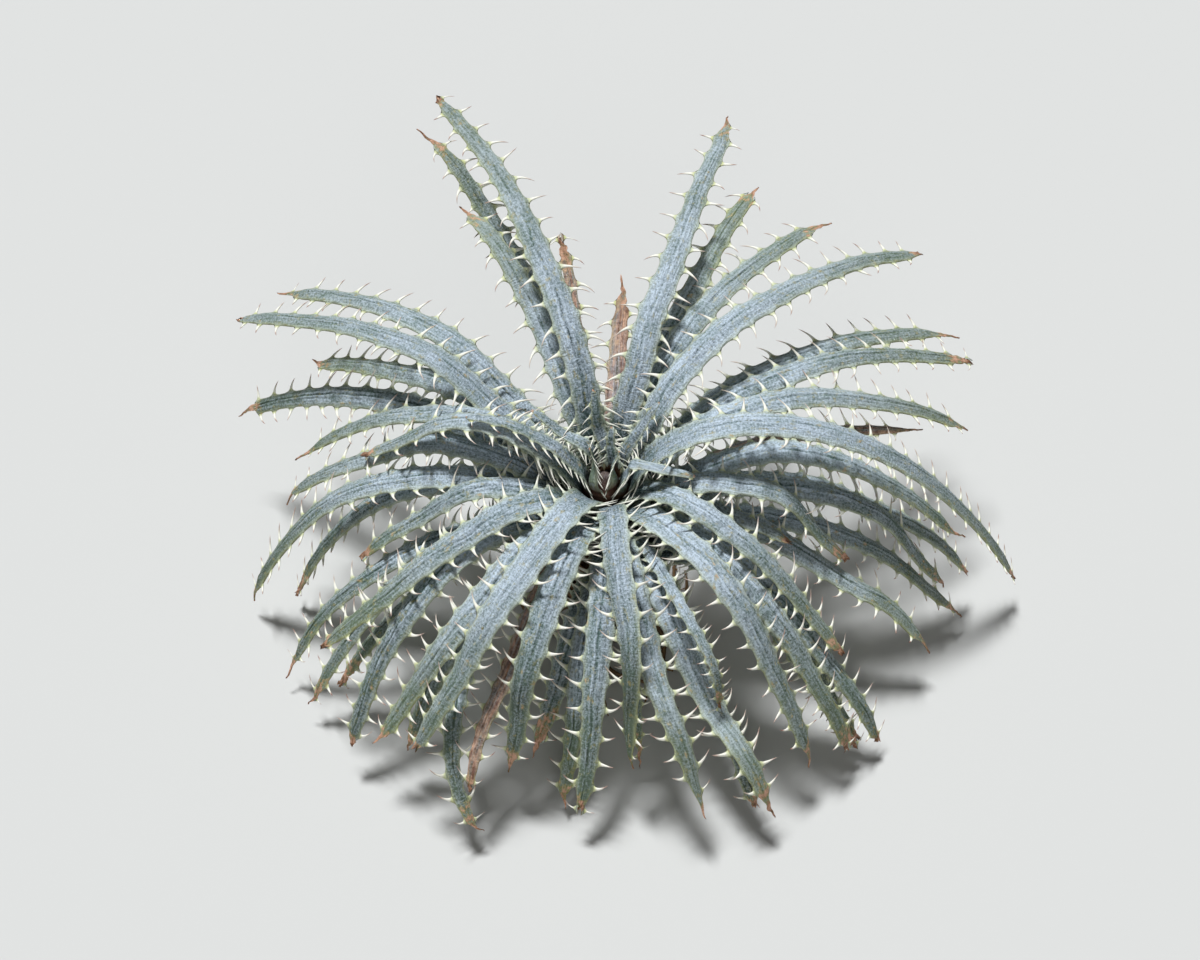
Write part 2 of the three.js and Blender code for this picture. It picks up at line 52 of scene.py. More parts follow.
HEART_RADIUS = 6.3
HEART_SHOULDER = (5.6, 87)  # radius and height
HEART_TOP_RADIUS = 1.6
HEART_FOOT_RADIUS = 4  # where the heart's outermost leaf stands
HEART_TOP = 96
HEART_MARGIN = 4  # from the heart's ends to its leaves' feet
GAP = 0.3  # between two solids that touch

BEND_SHARPNESS = 1.6
STEPS = 28  # of a leaf's middle line
BASE_SHARE = 0.46  # a leaf's narrow foot, a share of its width
SWELL = (0.03, 0.24)  # where it widens, in shares of its length
TAPER = 0.46  # the share of its width lost towards its tip
TAPER_SPAN = (0.35, 1.05)
POINT_LENGTH = 0.08  # the rounded end, a share of the length
BLADE_THICKNESS = 2.8  # of a leaf that is FULL_WIDTH wide
FULL_WIDTH = 9
THINNEST = 1.2
THINNING = 0.55  # the share of its thickness lost towards its tip

SPREAD_ROUNDS = 60
SPREAD_BLUR = 14  # passes that share a push with the points round it
PUSH_REACH = 0.6  # along a leaf, a share of the longer one's steps
CLEAR_OVER = 4.6  # between the middles of a leaf and of one lying on it
CLEAR_UNDER = 8  # a leaf further under than this isn't lying on it
HELD_LENGTH = 10  # from its foot, over which a leaf can't move freely

GOLDEN_ANGLE = 137.508
MM = 0.001

Leaf = namedtuple("Leaf", "azimuth length lift fall bend sweep twist width dry", defaults=(False,))

# Every leaf, the oldest and lowest first.
LEAVES = [Leaf(*row) for row in (
    (357, 168, 78, -54, 0.28, 0, 0, 10),
    (256, 86, 62, -50, 0.25, -22, 0, 10),
    (100, 112, 76, 24, 0.35, 0, 0, 7.5, True),
    (327, 142, 72, -60, 0.3, 0, 0, 9),
    (192, 166, 82, -66, 0.33, 12, 0, 9),
    (22, 142, 78, -32, 0.3, 0, 0, 7.5, True),
    (262, 112, 74, -62, 0.22, -9, 0, 9),
    (155, 187, 85, -44, 0.33, 0, -35, 11),
    (347, 155, 80, -56, 0.3, 0, 0, 11),
    (203, 132, 70, -60, 0.3, 0, 0, 9),
    (85, 95, 78, 12, 0.35, 0, 0, 9, True),
    (301, 138, 76, -64, 0.28, 0, 0, 10),
    (176, 169, 84, -72, 0.35, 10, 0, 11),
    (4, 184, 84, -62, 0.35, -6, 0, 11),
    (222, 158, 72, -58, 0.3, 98, 0, 9),
    (107, 170, 78, 16, 0.35, 38, 0, 10),
    (324, 150, 78, -64, 0.28, 0, 0, 10),
    (200, 158, 80, -62, 0.28, 14, 0, 9),
    (35, 182, 86, -31, 0.33, -12, 0, 11),
    (280, 116, 84, -80, 0.26, 0, 0, 5),
    (146, 157, 82, -37, 0.33, 0, -15, 11),
    (359, 168, 82, -62, 0.33, -4, 0, 11),
    (225, 138, 80, -66, 0.3, 0, 0, 11),
    (66, 148, 86, 2, 0.35, -10, 0, 11),
    (297, 152, 78, -60, 0.27, 18, 0, 12),
    (177, 198, 84, -70, 0.34, 12, 0, 11),
    (29, 181, 84, -32, 0.33, -10, 0, 11),
    (269, 126, 76, -60, 0.23, -18, 0, 11),
    (139, 185, 88, -31, 0.36, 14, 0, 11),
    (328, 169, 84, -66, 0.27, 0, 0, 11),
    (208, 158, 80, -62, 0.28, 34, 0, 11),
    (60, 155, 84, -8, 0.35, -28, 0, 11),
    (299, 112, 84, -76, 0.26, 0, 0, 5),
    (169, 158, 86, -54, 0.35, 4, 0, 11),
    (5, 178, 84, -58, 0.35, -5, 0, 11),
    (243, 138, 76, -64, 0.28, -15, 0, 7.5, True),
    (344, 73, 82, -38, 0.34, 4, 0, 7.5),
    (113, 134, 80, 2, 0.35, 20, 0, 11),
    (321, 162, 84, -68, 0.28, 0, 0, 11),
    (189, 108, 88, -50, 0.3, -2, 0, 10),
    (18, 182, 85, -46, 0.35, -2, 0, 11),
    (282, 144, 81, -58, 0.23, 30, 0, 11),
    (150, 190, 86, -31, 0.34, 4, 0, 11),
    (350, 112, 84, -62, 0.36, 2, 0, 10),
    (228, 141, 73, -53, 0.24, -20, 0, 12),
    (69, 174, 88, -4, 0.35, 4, 0, 11),
    (312, 155, 79, -66, 0.28, 7, 0, 11),
    (161, 160, 90, -54, 0.34, 8, 0, 10),
    (249, 132, 81, -66, 0.24, -6, 0, 12),
    (108, 187, 88, -4, 0.35, 18, 0, 11),
    (329, 126, 84, -64, 0.3, 4, 0, 9.5),
    (209, 136, 77, -44, 0.23, -17, 0, 11),
    (44, 187, 88, -27, 0.34, -14, 0, 11),
    (277, 125, 82, -66, 0.23, -4, 65, 11),
    (170, 108, 90, -48, 0.4, 4, 0, 9),
    (3, 236, 89, -66, 0.3, -3, 0, 11),
    (237, 139, 76, -53, 0.24, -22, 0, 12),
)]

# The young leaves of the heart, the outermost first.
HEART_LEAVES = [Leaf(*row) for row in (
    (172, 60, 84, -34, 0.35, 0, 0, 6),
    (345, 42, 84, -40, 0.35, 10, 0, 6),
    (150, 42, 86, 8, 0.35, 0, 0, 5),
    (38, 40, 84, 20, 0.35, 0, 0, 5),
    (104, 40, 86, 58, 0.4, 0, 0, 5),
    (196, 25, 88, 78, 0.4, 0, 0, 5),
    (75, 24, 86, 62, 0.4, 0, 0, 4),
    (350, 20, 88, 74, 0.4, 0, 0, 4),
)]
ROSETTE = LEAVES + HEART_LEAVES


def smoothstep(x, low, high):
    """0 up to low, 1 from high on."""
    t = np.clip((x - low) / (high - low), 0, 1)
    return t * t * (3 - 2 * t)


def mix(a, b, t):
    """a where t is 0, b where it is 1."""
    return a + (b - a) * t


def unit(vectors):
    return vectors / np.linalg.norm(vectors, axis=-1, keepdims=True)


def coordinates(x, y, z):
    """Points; each argument may be an array."""
    return np.stack(np.broadcast_arrays(x, y, z), axis=-1)


def around(azimuth, radius, height):
    """Points at an azimuth round the axis; each argument may be an array."""
    turn = np.radians(azimuth)
    return coordinates(radius * np.cos(turn), radius * np.sin(turn), height)


def circle(sides):
    return np.arange(sides) / sides * 360


# ---- middle lines, as in the solids
def ages(leaves):
    """From 1 for the oldest leaf to 0 for the youngest."""
    return [1 - i / (len(leaves) - 1) for i in range(len(leaves))]


def feet():
    """Where each leaf's middle line starts, on the stock or in the heart."""
    for leaf, age in zip(LEAVES, ages(LEAVES)):
        radius = mix(STOCK_TOP_RADIUS, STOCK_RADIUS, age) + GAP
        yield around(leaf.azimuth, radius, mix(STOCK_TOP - YOUNGEST_BELOW, LEAVES_FROM, age))
    for leaf, age in zip(HEART_LEAVES, ages(HEART_LEAVES)):
        radius = mix(HEART_TOP_RADIUS, HEART_FOOT_RADIUS, age)
        yield around(leaf.azimuth, radius, mix(HEART_TOP - HEART_MARGIN, STOCK_TOP + HEART_MARGIN, age))


def heading(leaf, along):
    return leaf.azimuth + leaf.sweep * along**2


def turn_made(leaf, along):
    """The share of its whole bend, from lift to fall, that a leaf has made."""
    place = (along / leaf.bend) ** BEND_SHARPNESS
    whole = (1 / leaf.bend) ** BEND_SHARPNESS
    return place / (1 + place) * (1 + whole) / whole


def middle_line(leaf, foot):
    along = (np.arange(STEPS) + 0.5) / STEPS
    slope = np.radians(mix(leaf.lift, leaf.fall, turn_made(leaf, along)))
    moves = around(heading(leaf, along), np.cos(slope), np.sin(slope)) * (leaf.length / STEPS)
    return np.vstack([foot, foot + np.cumsum(moves, axis=0)])


def turned_sides(leaf, along, forward):
    """The directions across a blade: sideways, and up out of its upper side."""
    side = around(heading(leaf, along) + 90, 1.0, 0.0)
    side = unit(side - forward * np.sum(side * forward, axis=-1, keepdims=True))
    twist = np.radians(leaf.twist * along)[..., None]
    side = side * np.cos(twist) + np.cross(forward, side) * np.sin(twist)
    return side, np.cross(forward, side)


def solid_half_width(leaf, along):
    return full_half_width(leaf, along) * mix(BASE_SHARE, 1, smoothstep(along, *SWELL))


def full_half_width(leaf, along):
    taper = 1 - TAPER * smoothstep(along, *TAPER_SPAN)
    return leaf.width / 2 * taper * np.sqrt(np.clip((1 - along) / POINT_LENGTH, 0, 1))


def thickness(leaf, along):
    size = min(1, leaf.width / FULL_WIDTH)
    return np.maximum(THINNEST, BLADE_THICKNESS * size * (1 - THINNING * along))


def spread(lines):
    """Crossing leaves lie clear of each other, the younger on top."""
    places = np.arange(STEPS + 1)
    at = places / STEPS
    half = np.array([solid_half_width(leaf, at) for leaf in ROSETTE])
    steps = np.array([leaf.length / STEPS for leaf in ROSETTE])
    free = np.minimum(1, places * steps[:, None] / HELD_LENGTH)
    for _ in range(SPREAD_ROUNDS):
        forward = unit(lines[:, np.minimum(places + 1, STEPS)] - lines[:, np.maximum(places - 1, 0)])
        pushes = np.zeros_like(lines)
        for older, leaf in enumerate(ROSETTE[:-1]):
            side, up = turned_sides(leaf, at, forward[older])
            young = lines[older + 1:, 2:].reshape(-1, 3)
            apart = young[None] - lines[older, 2:, None]
            over = np.einsum("imk,ik->im", apart, up[2:])
            widths = half[older, 2:, None] + half[older + 1:, 2:].reshape(1, -1) + 1
            younger = np.repeat(steps[older + 1:], STEPS - 1)
            reach = PUSH_REACH * np.maximum(steps[older], younger)
            beside = np.abs(np.einsum("imk,ik->im", apart, forward[older, 2:])) < reach
            beside &= np.abs(np.einsum("imk,ik->im", apart, side[2:])) < widths
            touching = beside & (over < CLEAR_OVER) & (over > -CLEAR_UNDER)
            push = np.where(touching, (CLEAR_OVER - over) * 0.5, 0) / (2 * reach)
            pushes[older, 2:] -= up[2:] * (push * younger).sum(axis=1)[:, None]
            pushed = np.einsum("im,ik->mk", push * steps[older], up[2:])
            pushes[older + 1:, 2:] += pushed.reshape(-1, STEPS - 1, 3)
        lines = lines + blurred(pushes) * free[..., None]
    return lines


def blurred(pushes):
    for _ in range(SPREAD_BLUR):
        before = np.concatenate([pushes[:, :1], pushes[:, :-1]], axis=1)
        after = np.concatenate([pushes[:, 1:], pushes[:, -1:]], axis=1)
        pushes = (2 * pushes + before + after) / 4
    return pushes


def frames_along(leaf, line, along):
    """Centres and directions (forward, side, up) on a smooth curve through a blade's middle line."""
    place = along * STEPS
    i = np.clip(np.floor(place).astype(int), 0, STEPS - 1)
    t = (place - i)[:, None]
    before, start = line[np.maximum(i - 1, 0)], line[i]
    end, after = line[i + 1], line[np.minimum(i + 2, STEPS)]
    first = end - before
    second = 2 * before - 5 * start + 4 * end - after
    third = 3 * start - before - 3 * end + after
    centre = 0.5 * (2 * start + first * t + second * t**2 + third * t**3)
    forward = unit(0.5 * (first + 2 * second * t + 3 * third * t**2))
    side, up = turned_sides(leaf, along, forward)
    return centre, forward, side, up


# ---- meshes with painted attributes
# The first paint is the white scurf, with painted light on blade parts that face up and on fold crests, and
# painted shade in grooves and near each blade's foot.
PAINTS = ("scurf", "edge", "under", "spine", "browned", "dry", "ripe", "sheath")


class Skin:
    """Vertices, faces and attributes of one piece, gathered from its parts."""

    def __init__(self):
        self.points, self.faces, self.where = [], [], []
        self.paint = {name: [] for name in PAINTS}
        self.count = 0

    def add(self, points, faces, where, **paint):
        """points (n, 3) and where (n, 3) in millimetres; each paint is a number or n numbers."""
        self.faces += [tuple(int(i) + self.count for i in face) for face in faces]
        self.points.append(points)
        self.where.append(where)
        for name in PAINTS:
            self.paint[name].append(np.broadcast_to(paint.get(name, 0.0), len(points)))
        self.count += len(points)

    def add_rings(self, points, where, **paint):
        """Adds a closed skin of rings, points (rings, size, 3); each paint spreads to (rings, size)."""
        rings, size, _ = points.shape
        spread_out = {name: np.broadcast_to(value, (rings, size)).ravel() for name, value in paint.items()}
        self.add(points.reshape(-1, 3), ring_faces(rings, size), where.reshape(-1, 3), **spread_out)

    def build(self, name, material):
        mesh = bpy.data.meshes.new(name)
        mesh.from_pydata((np.vstack(self.points) * MM).tolist(), [], self.faces)
        mesh.polygons.foreach_set("use_smooth", [True] * len(mesh.polygons))
        layer = mesh.attributes.new("where", "FLOAT_VECTOR", "POINT")
        layer.data.foreach_set("vector", np.vstack(self.where).astype(np.float32).ravel())
        for key in PAINTS:
            layer = mesh.attributes.new(key, "FLOAT", "POINT")
            layer.data.foreach_set("value", np.concatenate(self.paint[key]).astype(np.float32))
        mesh.materials.append(material)
        mesh.validate()
        piece = bpy.data.objects.new(name, mesh)
        bpy.context.scene.collection.objects.link(piece)
        return piece


def ring_faces(rings, size):
    """Quads from each ring of points to the next, and one face that closes each end."""
    i = np.arange(size)
    j = (i + 1) % size
    start = (np.arange(rings - 1) * size)[:, None]
    quads = np.stack([start + i, start + j, start + size + j, start + size + i], axis=-1).reshape(-1, 4)
    return quads.tolist() + [list(range(size))[::-1], list(range((rings - 1) * size, rings * size))]


def waves(random, count, shortest, longest):
    """A smooth random function of a length: a sum of sines."""
    lengths = random.uniform(shortest, longest, count)
    phases = random.uniform(0, 2 * np.pi, count)
    weights = random.uniform(0.5, 1, count)
    weights /= weights.sum()
    return lambda s: sum(w * np.sin(2 * np.pi * s / l + p) for w, l, p in zip(weights, lengths, phases))


# ---- what makes one leaf unlike the next
TAILLESS = 0.6  # the share of full-grown leaves that end torn off
TAIL_LENGTH = (5, 16)
DRY_TIP = (8, 22)
DRY_TIP_BY_AGE = (0.7, 1.3)  # times that, from the youngest to the oldest
TEARS = 7  # random depths across a torn end
FOLD_DEPTH_BY_AGE = (0.7, 1.15)
SCURF = (0.2, 0.38)
RIPENESS = (0.4, 1.0)

# Waves along a leaf: how many sines, the shortest and the longest.
SWERVE_WAVES = (4, 7, 45)
RIPPLE_WAVES = (5, 3.5, 16)
WANDER_WAVES = (3, 30, 90)

# Folds: each one's place beside the main groove, its width (both shares of half the blade) and its height.
MAIN_FOLDS = ((0, 0.075, -0.62), (0.2, 0.085, 0.5), (-0.19, 0.09, 0.22))
SIDE_FOLDS = (-0.72, -0.5, 0.48, 0.7)
SIDE_FOLD_HEIGHTS = (-0.3, 0.22, 0.3)


class Traits:
    """One leaf's own dry end, folds, waves and colour."""

    def __init__(self, index):
        leaf = ROSETTE[index]
        r = np.random.default_rng(100 + index)
        self.random = r
        self.young = index >= len(LEAVES)
        age = 0.0 if self.young else ages(LEAVES)[index]
        self.tail = 0.0 if self.young or r.random() < TAILLESS else r.uniform(*TAIL_LENGTH)
        self.broken = not (self.young or self.tail)
        self.dry_tip = 1.2
        if not self.young:
            self.dry_tip = r.uniform(*DRY_TIP) * mix(*DRY_TIP_BY_AGE, age) + 0.3 * self.tail
        self.torn = r.uniform(0, 1, TEARS)
        self.frayed = r.uniform(-1, 1, TEARS)
        depth = mix(*FOLD_DEPTH_BY_AGE, age) + (0.3 if leaf.dry else 0)
        self.folds = folds(r, 0.15 if self.young else depth)
        self.swerve = waves(r, *SWERVE_WAVES)
        self.ripple = waves(r, *RIPPLE_WAVES)
        self.wander = waves(r, *WANDER_WAVES)
        # the leaf's own scurf; painted light and shade are added to it later, in the same paint
        self.scurf = r.uniform(*SCURF) - 0.06 * age
        self.ripe = r.uniform(*RIPENESS) * (0.2 if self.young else 1)
        self.curl = r.uniform(-1, 1, 2)
        self.noise_place = leaf.azimuth * 3.7 + leaf.length


def folds(random, depth):
    """Each lengthwise fold's place across the blade, width, height and how these change."""
    hand = random.choice([-1, 1])
    main = random.uniform(-0.12, 0.12)
    made = [(main + place * hand, width, height * depth) for place, width, height in MAIN_FOLDS]
    for place in SIDE_FOLDS:
        shifted = place + random.uniform(-0.08, 0.08)
        made.append((shifted, 0.06, random.choice(SIDE_FOLD_HEIGHTS) * depth))
    return [fold + (waves(random, 3, 14, 60), waves(random, 3, 9, 40)) for fold in made]


# ---- blades
RING_STEP = 1.15  # along a blade
FEWEST_RINGS = 24
LAST_RING = 0.15  # from the very end, where a blade has no width
COLUMNS = 27  # points across a blade's upper side
UNDER_COLUMNS = 7  # and across its under side
CROWDING = 1.2  # above 1 the points across crowd towards the midrib

SHEATH_SHARE = 0.56  # half the clasping base of a leaf, a share of its width
SHEATH_CUP = 1.6  # how deeply it is hollowed, where a leaf is 10 wide or more
YOUNG_SHEATH = 4.2  # half the base of a leaf of the heart, wrapped round the core
YOUNG_CUP = 2.4

BROKEN_END = 0.5  # a torn end's width, a share of the width before it
TAIL_WIDTH = 0.32  # the same for a tail
TAIL_CUT = 0.5  # the share of a tail that has no spines
TORN_LENGTH = 6  # where a torn end frays
TORN_DEPTH = 3
THIN_END = 0.55  # of the thickness, over THIN_END_LENGTH
THIN_END_LENGTH = 10

BASE_HOLLOW = 0.12  # at the base, how far the midrib lies below the margins, in half widths
CROWN = 0.36  # and further out, above them
CROWN_POWER = 1.35  # 1 would make two flat slopes, and 2 a round arch
ROUNDING = (0.1, 0.4)  # where the hollow becomes the crown
GROWN = (0.05, 0.3)  # where folds and waves grow to their full size
FULL_RELIEF = 4  # they are lower where half the blade is less
EDGE_THICKNESS = 0.8
EDGE_DROP = 0.3  # rounds off the upper edge

WANDER = 0.55  # of the middle line, sideways
SWERVE = 0.09  # of the midrib, in half widths
RIPPLE = 0.15  # of the surface, in height
FOLD_SWAY = 0.07  # of a fold, sideways
DRY_SINK = 0.45  # of a dried upper side, in thicknesses

MARGIN_WAVE = 1.6  # from the middle of a bay to the foot of a spine
BAY_DEPTH = 0.35  # how far a bay lies inside the solid's margin
SPINE_REACH = 3.8  # length of margin drawn out towards a spine


def tip_length(leaf, traits):
    return leaf.length - TAIL_CUT * traits.tail


def blade_half_width(leaf, traits, s):
    """Half the blade's width at s millimetres from its foot, its clasping base included."""
    along = s / leaf.length
    half = full_half_width(leaf, along)
    if traits.young:
        return mix(YOUNG_SHEATH, half, smoothstep(s, 1, 13))
    if traits.broken:
        half = np.maximum(half, BROKEN_END * (1 - TAPER) * leaf.width / 2)
    sheath = np.minimum(SHEATH_SHARE * leaf.width, 1.1 * half)
    half = mix(sheath, half, smoothstep(along, 0.02, 0.14))
    if traits.tail:
        narrowed = smoothstep(s, leaf.length - 1.7 * traits.tail, leaf.length - 0.1 * traits.tail)
        half = half * mix(1, TAIL_WIDTH, narrowed)
    return half


def wandering(leaf, traits, s):
    """How far sideways a blade lies from the curve through its middle line."""
    return WANDER * traits.wander(s) * smoothstep(s / leaf.length, *GROWN)


def margin_wave(places, s):
    """1 at the foot of each spine, falling to 0 along the bays."""
    nearest = np.min(np.abs(s[:, None] - places[None]), axis=1)
    return np.clip(1 - nearest / SPINE_REACH, 0, 1) ** 2


class Rings:
    """What a blade measures at each of its rings, which stand s millimetres from its foot."""

    def __init__(self, leaf, line, traits):
        self.leaf = leaf
        self.traits = traits
        self.s = np.linspace(0, leaf.length, max(FEWEST_RINGS, int(leaf.length / RING_STEP)))
        self.s[-1] -= LAST_RING
        self.along = self.s / leaf.length
        self.grown = smoothstep(self.along, *GROWN)
        self.shrunk = smoothstep(self.s, leaf.length - traits.dry_tip, leaf.length)
        self.place(line)
        # What has dried has shrunk, with closer ripples.
        ripple = 0.5 * self.shrunk * traits.ripple(1.6 * self.s + 50)
        self.half = blade_half_width(leaf, traits, self.s) * (1 + ripple - 0.18 * self.shrunk)
        self.narrow = np.minimum(1, self.half / FULL_RELIEF)
        ending = smoothstep(self.s, leaf.length - THIN_END_LENGTH, leaf.length)
        self.thick = thickness(leaf, self.along) * mix(1, THIN_END, ending)
        self.crown = self.crown_height()

    def place(self, line):
        """The rings' centres and directions, where the blade wanders and its end curls."""
        leaf, traits = self.leaf, self.traits
        centre, self.forward, self.side, self.up = frames_along(leaf, line, self.along)
        tail = smoothstep(self.s, tip_length(leaf, traits) - 4, leaf.length)
        tail = tail * (1 if traits.tail else 0.2)
        sideways = wandering(leaf, traits, self.s) + 2.6 * traits.curl[0] * tail**2
        centre = centre + self.side * sideways[:, None]
        centre = centre + self.up * (2.2 * traits.curl[1] * tail**2)[:, None]
        ripple = 0.7 * self.shrunk * traits.ripple(1.6 * self.s + 90)
        self.centre = centre + self.side * ripple[:, None]

    def crown_height(self):
        """How far the midrib stands above the margins: below 0 where the blade is hollow."""
        crown = self.half * mix(-BASE_HOLLOW, CROWN, smoothstep(self.along, *ROUNDING))
        if self.traits.young:
            return mix(crown, -YOUNG_CUP, 1 - smoothstep(self.s, 2, 14))
        cup = SHEATH_CUP * min(1, self.leaf.width / 10)
        return mix(crown, -cup, 1 - smoothstep(self.along, 0.02, 0.16))


def fold_heights(rings, columns):
    """How far a blade's folds raise or sink each point of its upper side."""
    folded = np.zeros((len(rings.s), COLUMNS))
    for place, wide, height, sway, change in rings.traits.folds:
        middle = place + FOLD_SWAY * sway(rings.s)
        strength = height * (0.75 + 0.6 * change(rings.s)) * rings.grown * rings.narrow
        folded += strength[:, None] * np.exp(-((columns[None] - middle[:, None]) / wide) ** 2)
    return folded


def upper_side(rings, columns, folded, spines):
    """How far across and above the middle line the points of a blade's upper side lie."""
    traits = rings.traits
    x = columns + SWERVE * traits.swerve(rings.s)[:, None] * (1 - columns**2)
    above = rings.crown[:, None] * (1 - np.abs(x) ** CROWN_POWER)
    above += folded
    above += (RIPPLE * traits.ripple(rings.s) * rings.grown)[:, None] * (1 - x**4)
    above -= (DRY_SINK * rings.shrunk * rings.thick)[:, None] * (1 - x**2)
    above[:, [0, -1]] -= EDGE_DROP * rings.narrow[:, None]
    wide = np.repeat(rings.half[:, None], COLUMNS, axis=1)
    for hand, column, inner in ((-1, 0, 1), (1, -1, -2)):
        wave = (MARGIN_WAVE * margin_wave(spines[hand], rings.s) - BAY_DEPTH) * rings.narrow
        wide[:, column] += wave
        wide[:, inner] += 0.7 * wave
    return x * wide, above


def under_side(rings, columns):
    """The same for its under side."""
    edge = EDGE_THICKNESS * np.minimum(1, rings.half / 3)
    above = -edge[:, None] - (rings.thick - edge)[:, None] * (1 - np.abs(columns) ** 1.8)
    above = above + rings.crown[:, None] * (1 - columns**2)
    return columns * (rings.half - BAY_DEPTH * rings.narrow)[:, None], above


def torn_end(rings, columns):
    """How far each point of a blade's rings is drawn back and bent by the tear at its end."""
    traits = rings.traits
    at = np.linspace(-1, 1, TEARS)
    close = smoothstep(rings.s, rings.leaf.length - TORN_LENGTH, rings.leaf.length)[:, None, None]
    back = TORN_DEPTH * np.interp(columns, at, traits.torn)[None, :, None]
    bent = np.interp(columns, at, traits.frayed)[None, :, None]
    return close * (rings.up[:, None] * bent - rings.forward[:, None] * back)


def blade(skin, leaf, line, traits, spines):
    """Adds the blade; spines holds the spines' places on its right and left margins."""
    rings = Rings(leaf, line, traits)
    over = np.linspace(-1, 1, COLUMNS)
    over = np.sign(over) * np.abs(over) ** CROWDING
    beneath = np.linspace(0.97, -0.97, UNDER_COLUMNS)
    folded = fold_heights(rings, over)
    sections = zip(upper_side(rings, over, folded, spines), under_side(rings, beneath))
    across, above = (np.concatenate(halves, axis=1) for halves in sections)
    points = rings.centre[:, None] + rings.side[:, None] * across[..., None]
    points = points + rings.up[:, None] * above[..., None]
    columns = np.append(over, beneath)
    if traits.broken:
        points = points + torn_end(rings, columns)
    under = np.repeat([0.0, 1.0], [COLUMNS, UNDER_COLUMNS])
    where = coordinates(across + 30 * under, rings.s[:, None], traits.noise_place)
    skin.add_rings(points, where, edge=np.abs(columns) ** 6, under=under, **blade_paints(rings, folded))


# ---- a blade's paint
SCURF_SIDEWAYS = -0.16  # added to a leaf's own scurf where it faces sideways
UPWARD_PAINTED_LIGHT = 0.52  # and this much more where it faces up: painted light from above
SCURF_TIP = 0.15  # lost at the tip
BASE_PAINTED_SHADE = 0.3  # taken off at the base: painted shade where the rosette's leaves crowd over each other
FOLD_PAINTED_SHADE = 0.65  # painted light on crests and painted shade in grooves: how much whiter a crest is than a groove, a millimetre


def blade_paints(rings, folded):
    """The paints that change along a blade."""
    traits, s = rings.traits, rings.s
    if traits.young:
        brown = 0.9 * (1 - smoothstep(s, 1, 9))
    else:
        brown = 1 - smoothstep(s, 1.5, 6)
    return {
        "scurf": paint_scurf_and_light(rings, folded),
        "dry": np.clip((s - rings.leaf.length) / traits.dry_tip + 1, 0, 1)[:, None],
        "ripe": (traits.ripe * smoothstep(rings.along, 0.35, 0.95))[:, None],
        "sheath": brown[:, None],
    }


def paint_scurf_and_light(rings, folded):
    """How white each point is: more where it faces up and on the crest of a fold, which is painted light, and
    less in the grooves and near the blade's foot, which is painted shade.
    """
    traits, s = rings.traits, rings.s
    # painted light: whiter where the upper side faces up
    cover_and_painted_light = traits.scurf + SCURF_SIDEWAYS + UPWARD_PAINTED_LIGHT * np.clip(rings.up[:, 2], -0.3, 1)
    cover_and_painted_light += 0.05 * traits.wander(s + 30)
    # painted shade near each blade's foot, weaker on the heart's young leaves
    base = 0.05 if traits.young else BASE_PAINTED_SHADE
    cover_and_painted_light -= SCURF_TIP * smoothstep(rings.along, 0.4, 1) + base * (1 - smoothstep(s, 6, 50))
    # painted light on fold crests and painted shade in the grooves
    painted_fold_shade = FOLD_PAINTED_SHADE * np.clip(folded, -0.6, 0.6)
    return cover_and_painted_light[:, None] + np.pad(painted_fold_shade, ((0, 0), (0, UNDER_COLUMNS)))


# ---- spines
SPINE_LENGTH = 7.6  # from the bays' line to the point
SPINE_SIDES = 6
SPINES_FROM = 3.5  # the nearest to a leaf's foot
SPINE_GAP_BASE = 4.4  # from spine to spine near the base
SPINE_GAP = 9.8  # and further out
SLIM_LEAF = 7  # slimmer ones have closer and shorter spines
SIZE_RANGE = (0.8, 1.1)
WEB_TOP = 0.8  # a spine leans and hooks only above its web

BASE_ENDS = (14, 50)  # where the crowded base ends
LEAN_RANGE = (-0.15, 0.3)  # back towards the foot, a share of the length
BASE_LEAN = 0.5
HOOK_RANGE = (0.0, 0.9)
BASE_HOOK = 0.35  # times that
TILT_RANGE = (-0.12, 0.12)
BASE_SLIMNESS = (0.6, 0.7)  # along the margin, and across it
STOUT_FROM = 2.6  # slimmer where half the blade is less than this

# A spine's rings: how far out from the bays' line, and half sizes along and across the margin.
SPINE_RINGS = (
    (-0.5, 3.2, 0.14), (0.1, 2.5, 0.24), (0.5, 1.8, 0.33), (0.95, 1.22, 0.4), (1.6, 0.84, 0.46),
    (2.5, 0.62, 0.46), (3.7, 0.46, 0.39), (5.1, 0.3, 0.27), (6.5, 0.16, 0.14),
)
SPINE_OUT, SPINE_LONG, SPINE_HIGH = (np.array(column) for column in zip(*SPINE_RINGS))
# A spine's rise and a share of its size, tried in turn until it is clear of other leaves.
SPINE_TRIES = ((0.15, 1.0), (0.55, 0.95), (-0.5, 0.95), (0.25, 0.7), (0.8, 0.6), (0.2, 0.45))


def spine_places(leaf, traits):
    """Lengths from the foot at which one margin carries a spine."""
    places = []
    s = SPINES_FROM * (0.7 if traits.young else 1) + traits.random.uniform(0, 2.5)
    while s < tip_length(leaf, traits) - 1.5:
        places.append(s)
        gap = mix(SPINE_GAP_BASE, SPINE_GAP, smoothstep(s, 8, 55))
        if leaf.width < SLIM_LEAF:
            gap = gap * 0.75
        s += gap * traits.random.uniform(0.85, 1.15)
    return np.array(places)


def spine_size(leaf, traits, s):
    """A spine's length, as a share of a full one."""
    size = mix(1.0, 0.76, smoothstep(s / leaf.length, 0.7, 1.0))
    size = size * mix(0.75, 1, smoothstep(s, 2, 14))
    if leaf.width < SLIM_LEAF:
        size = size * (0.62 if traits.young else 0.7)
    return size


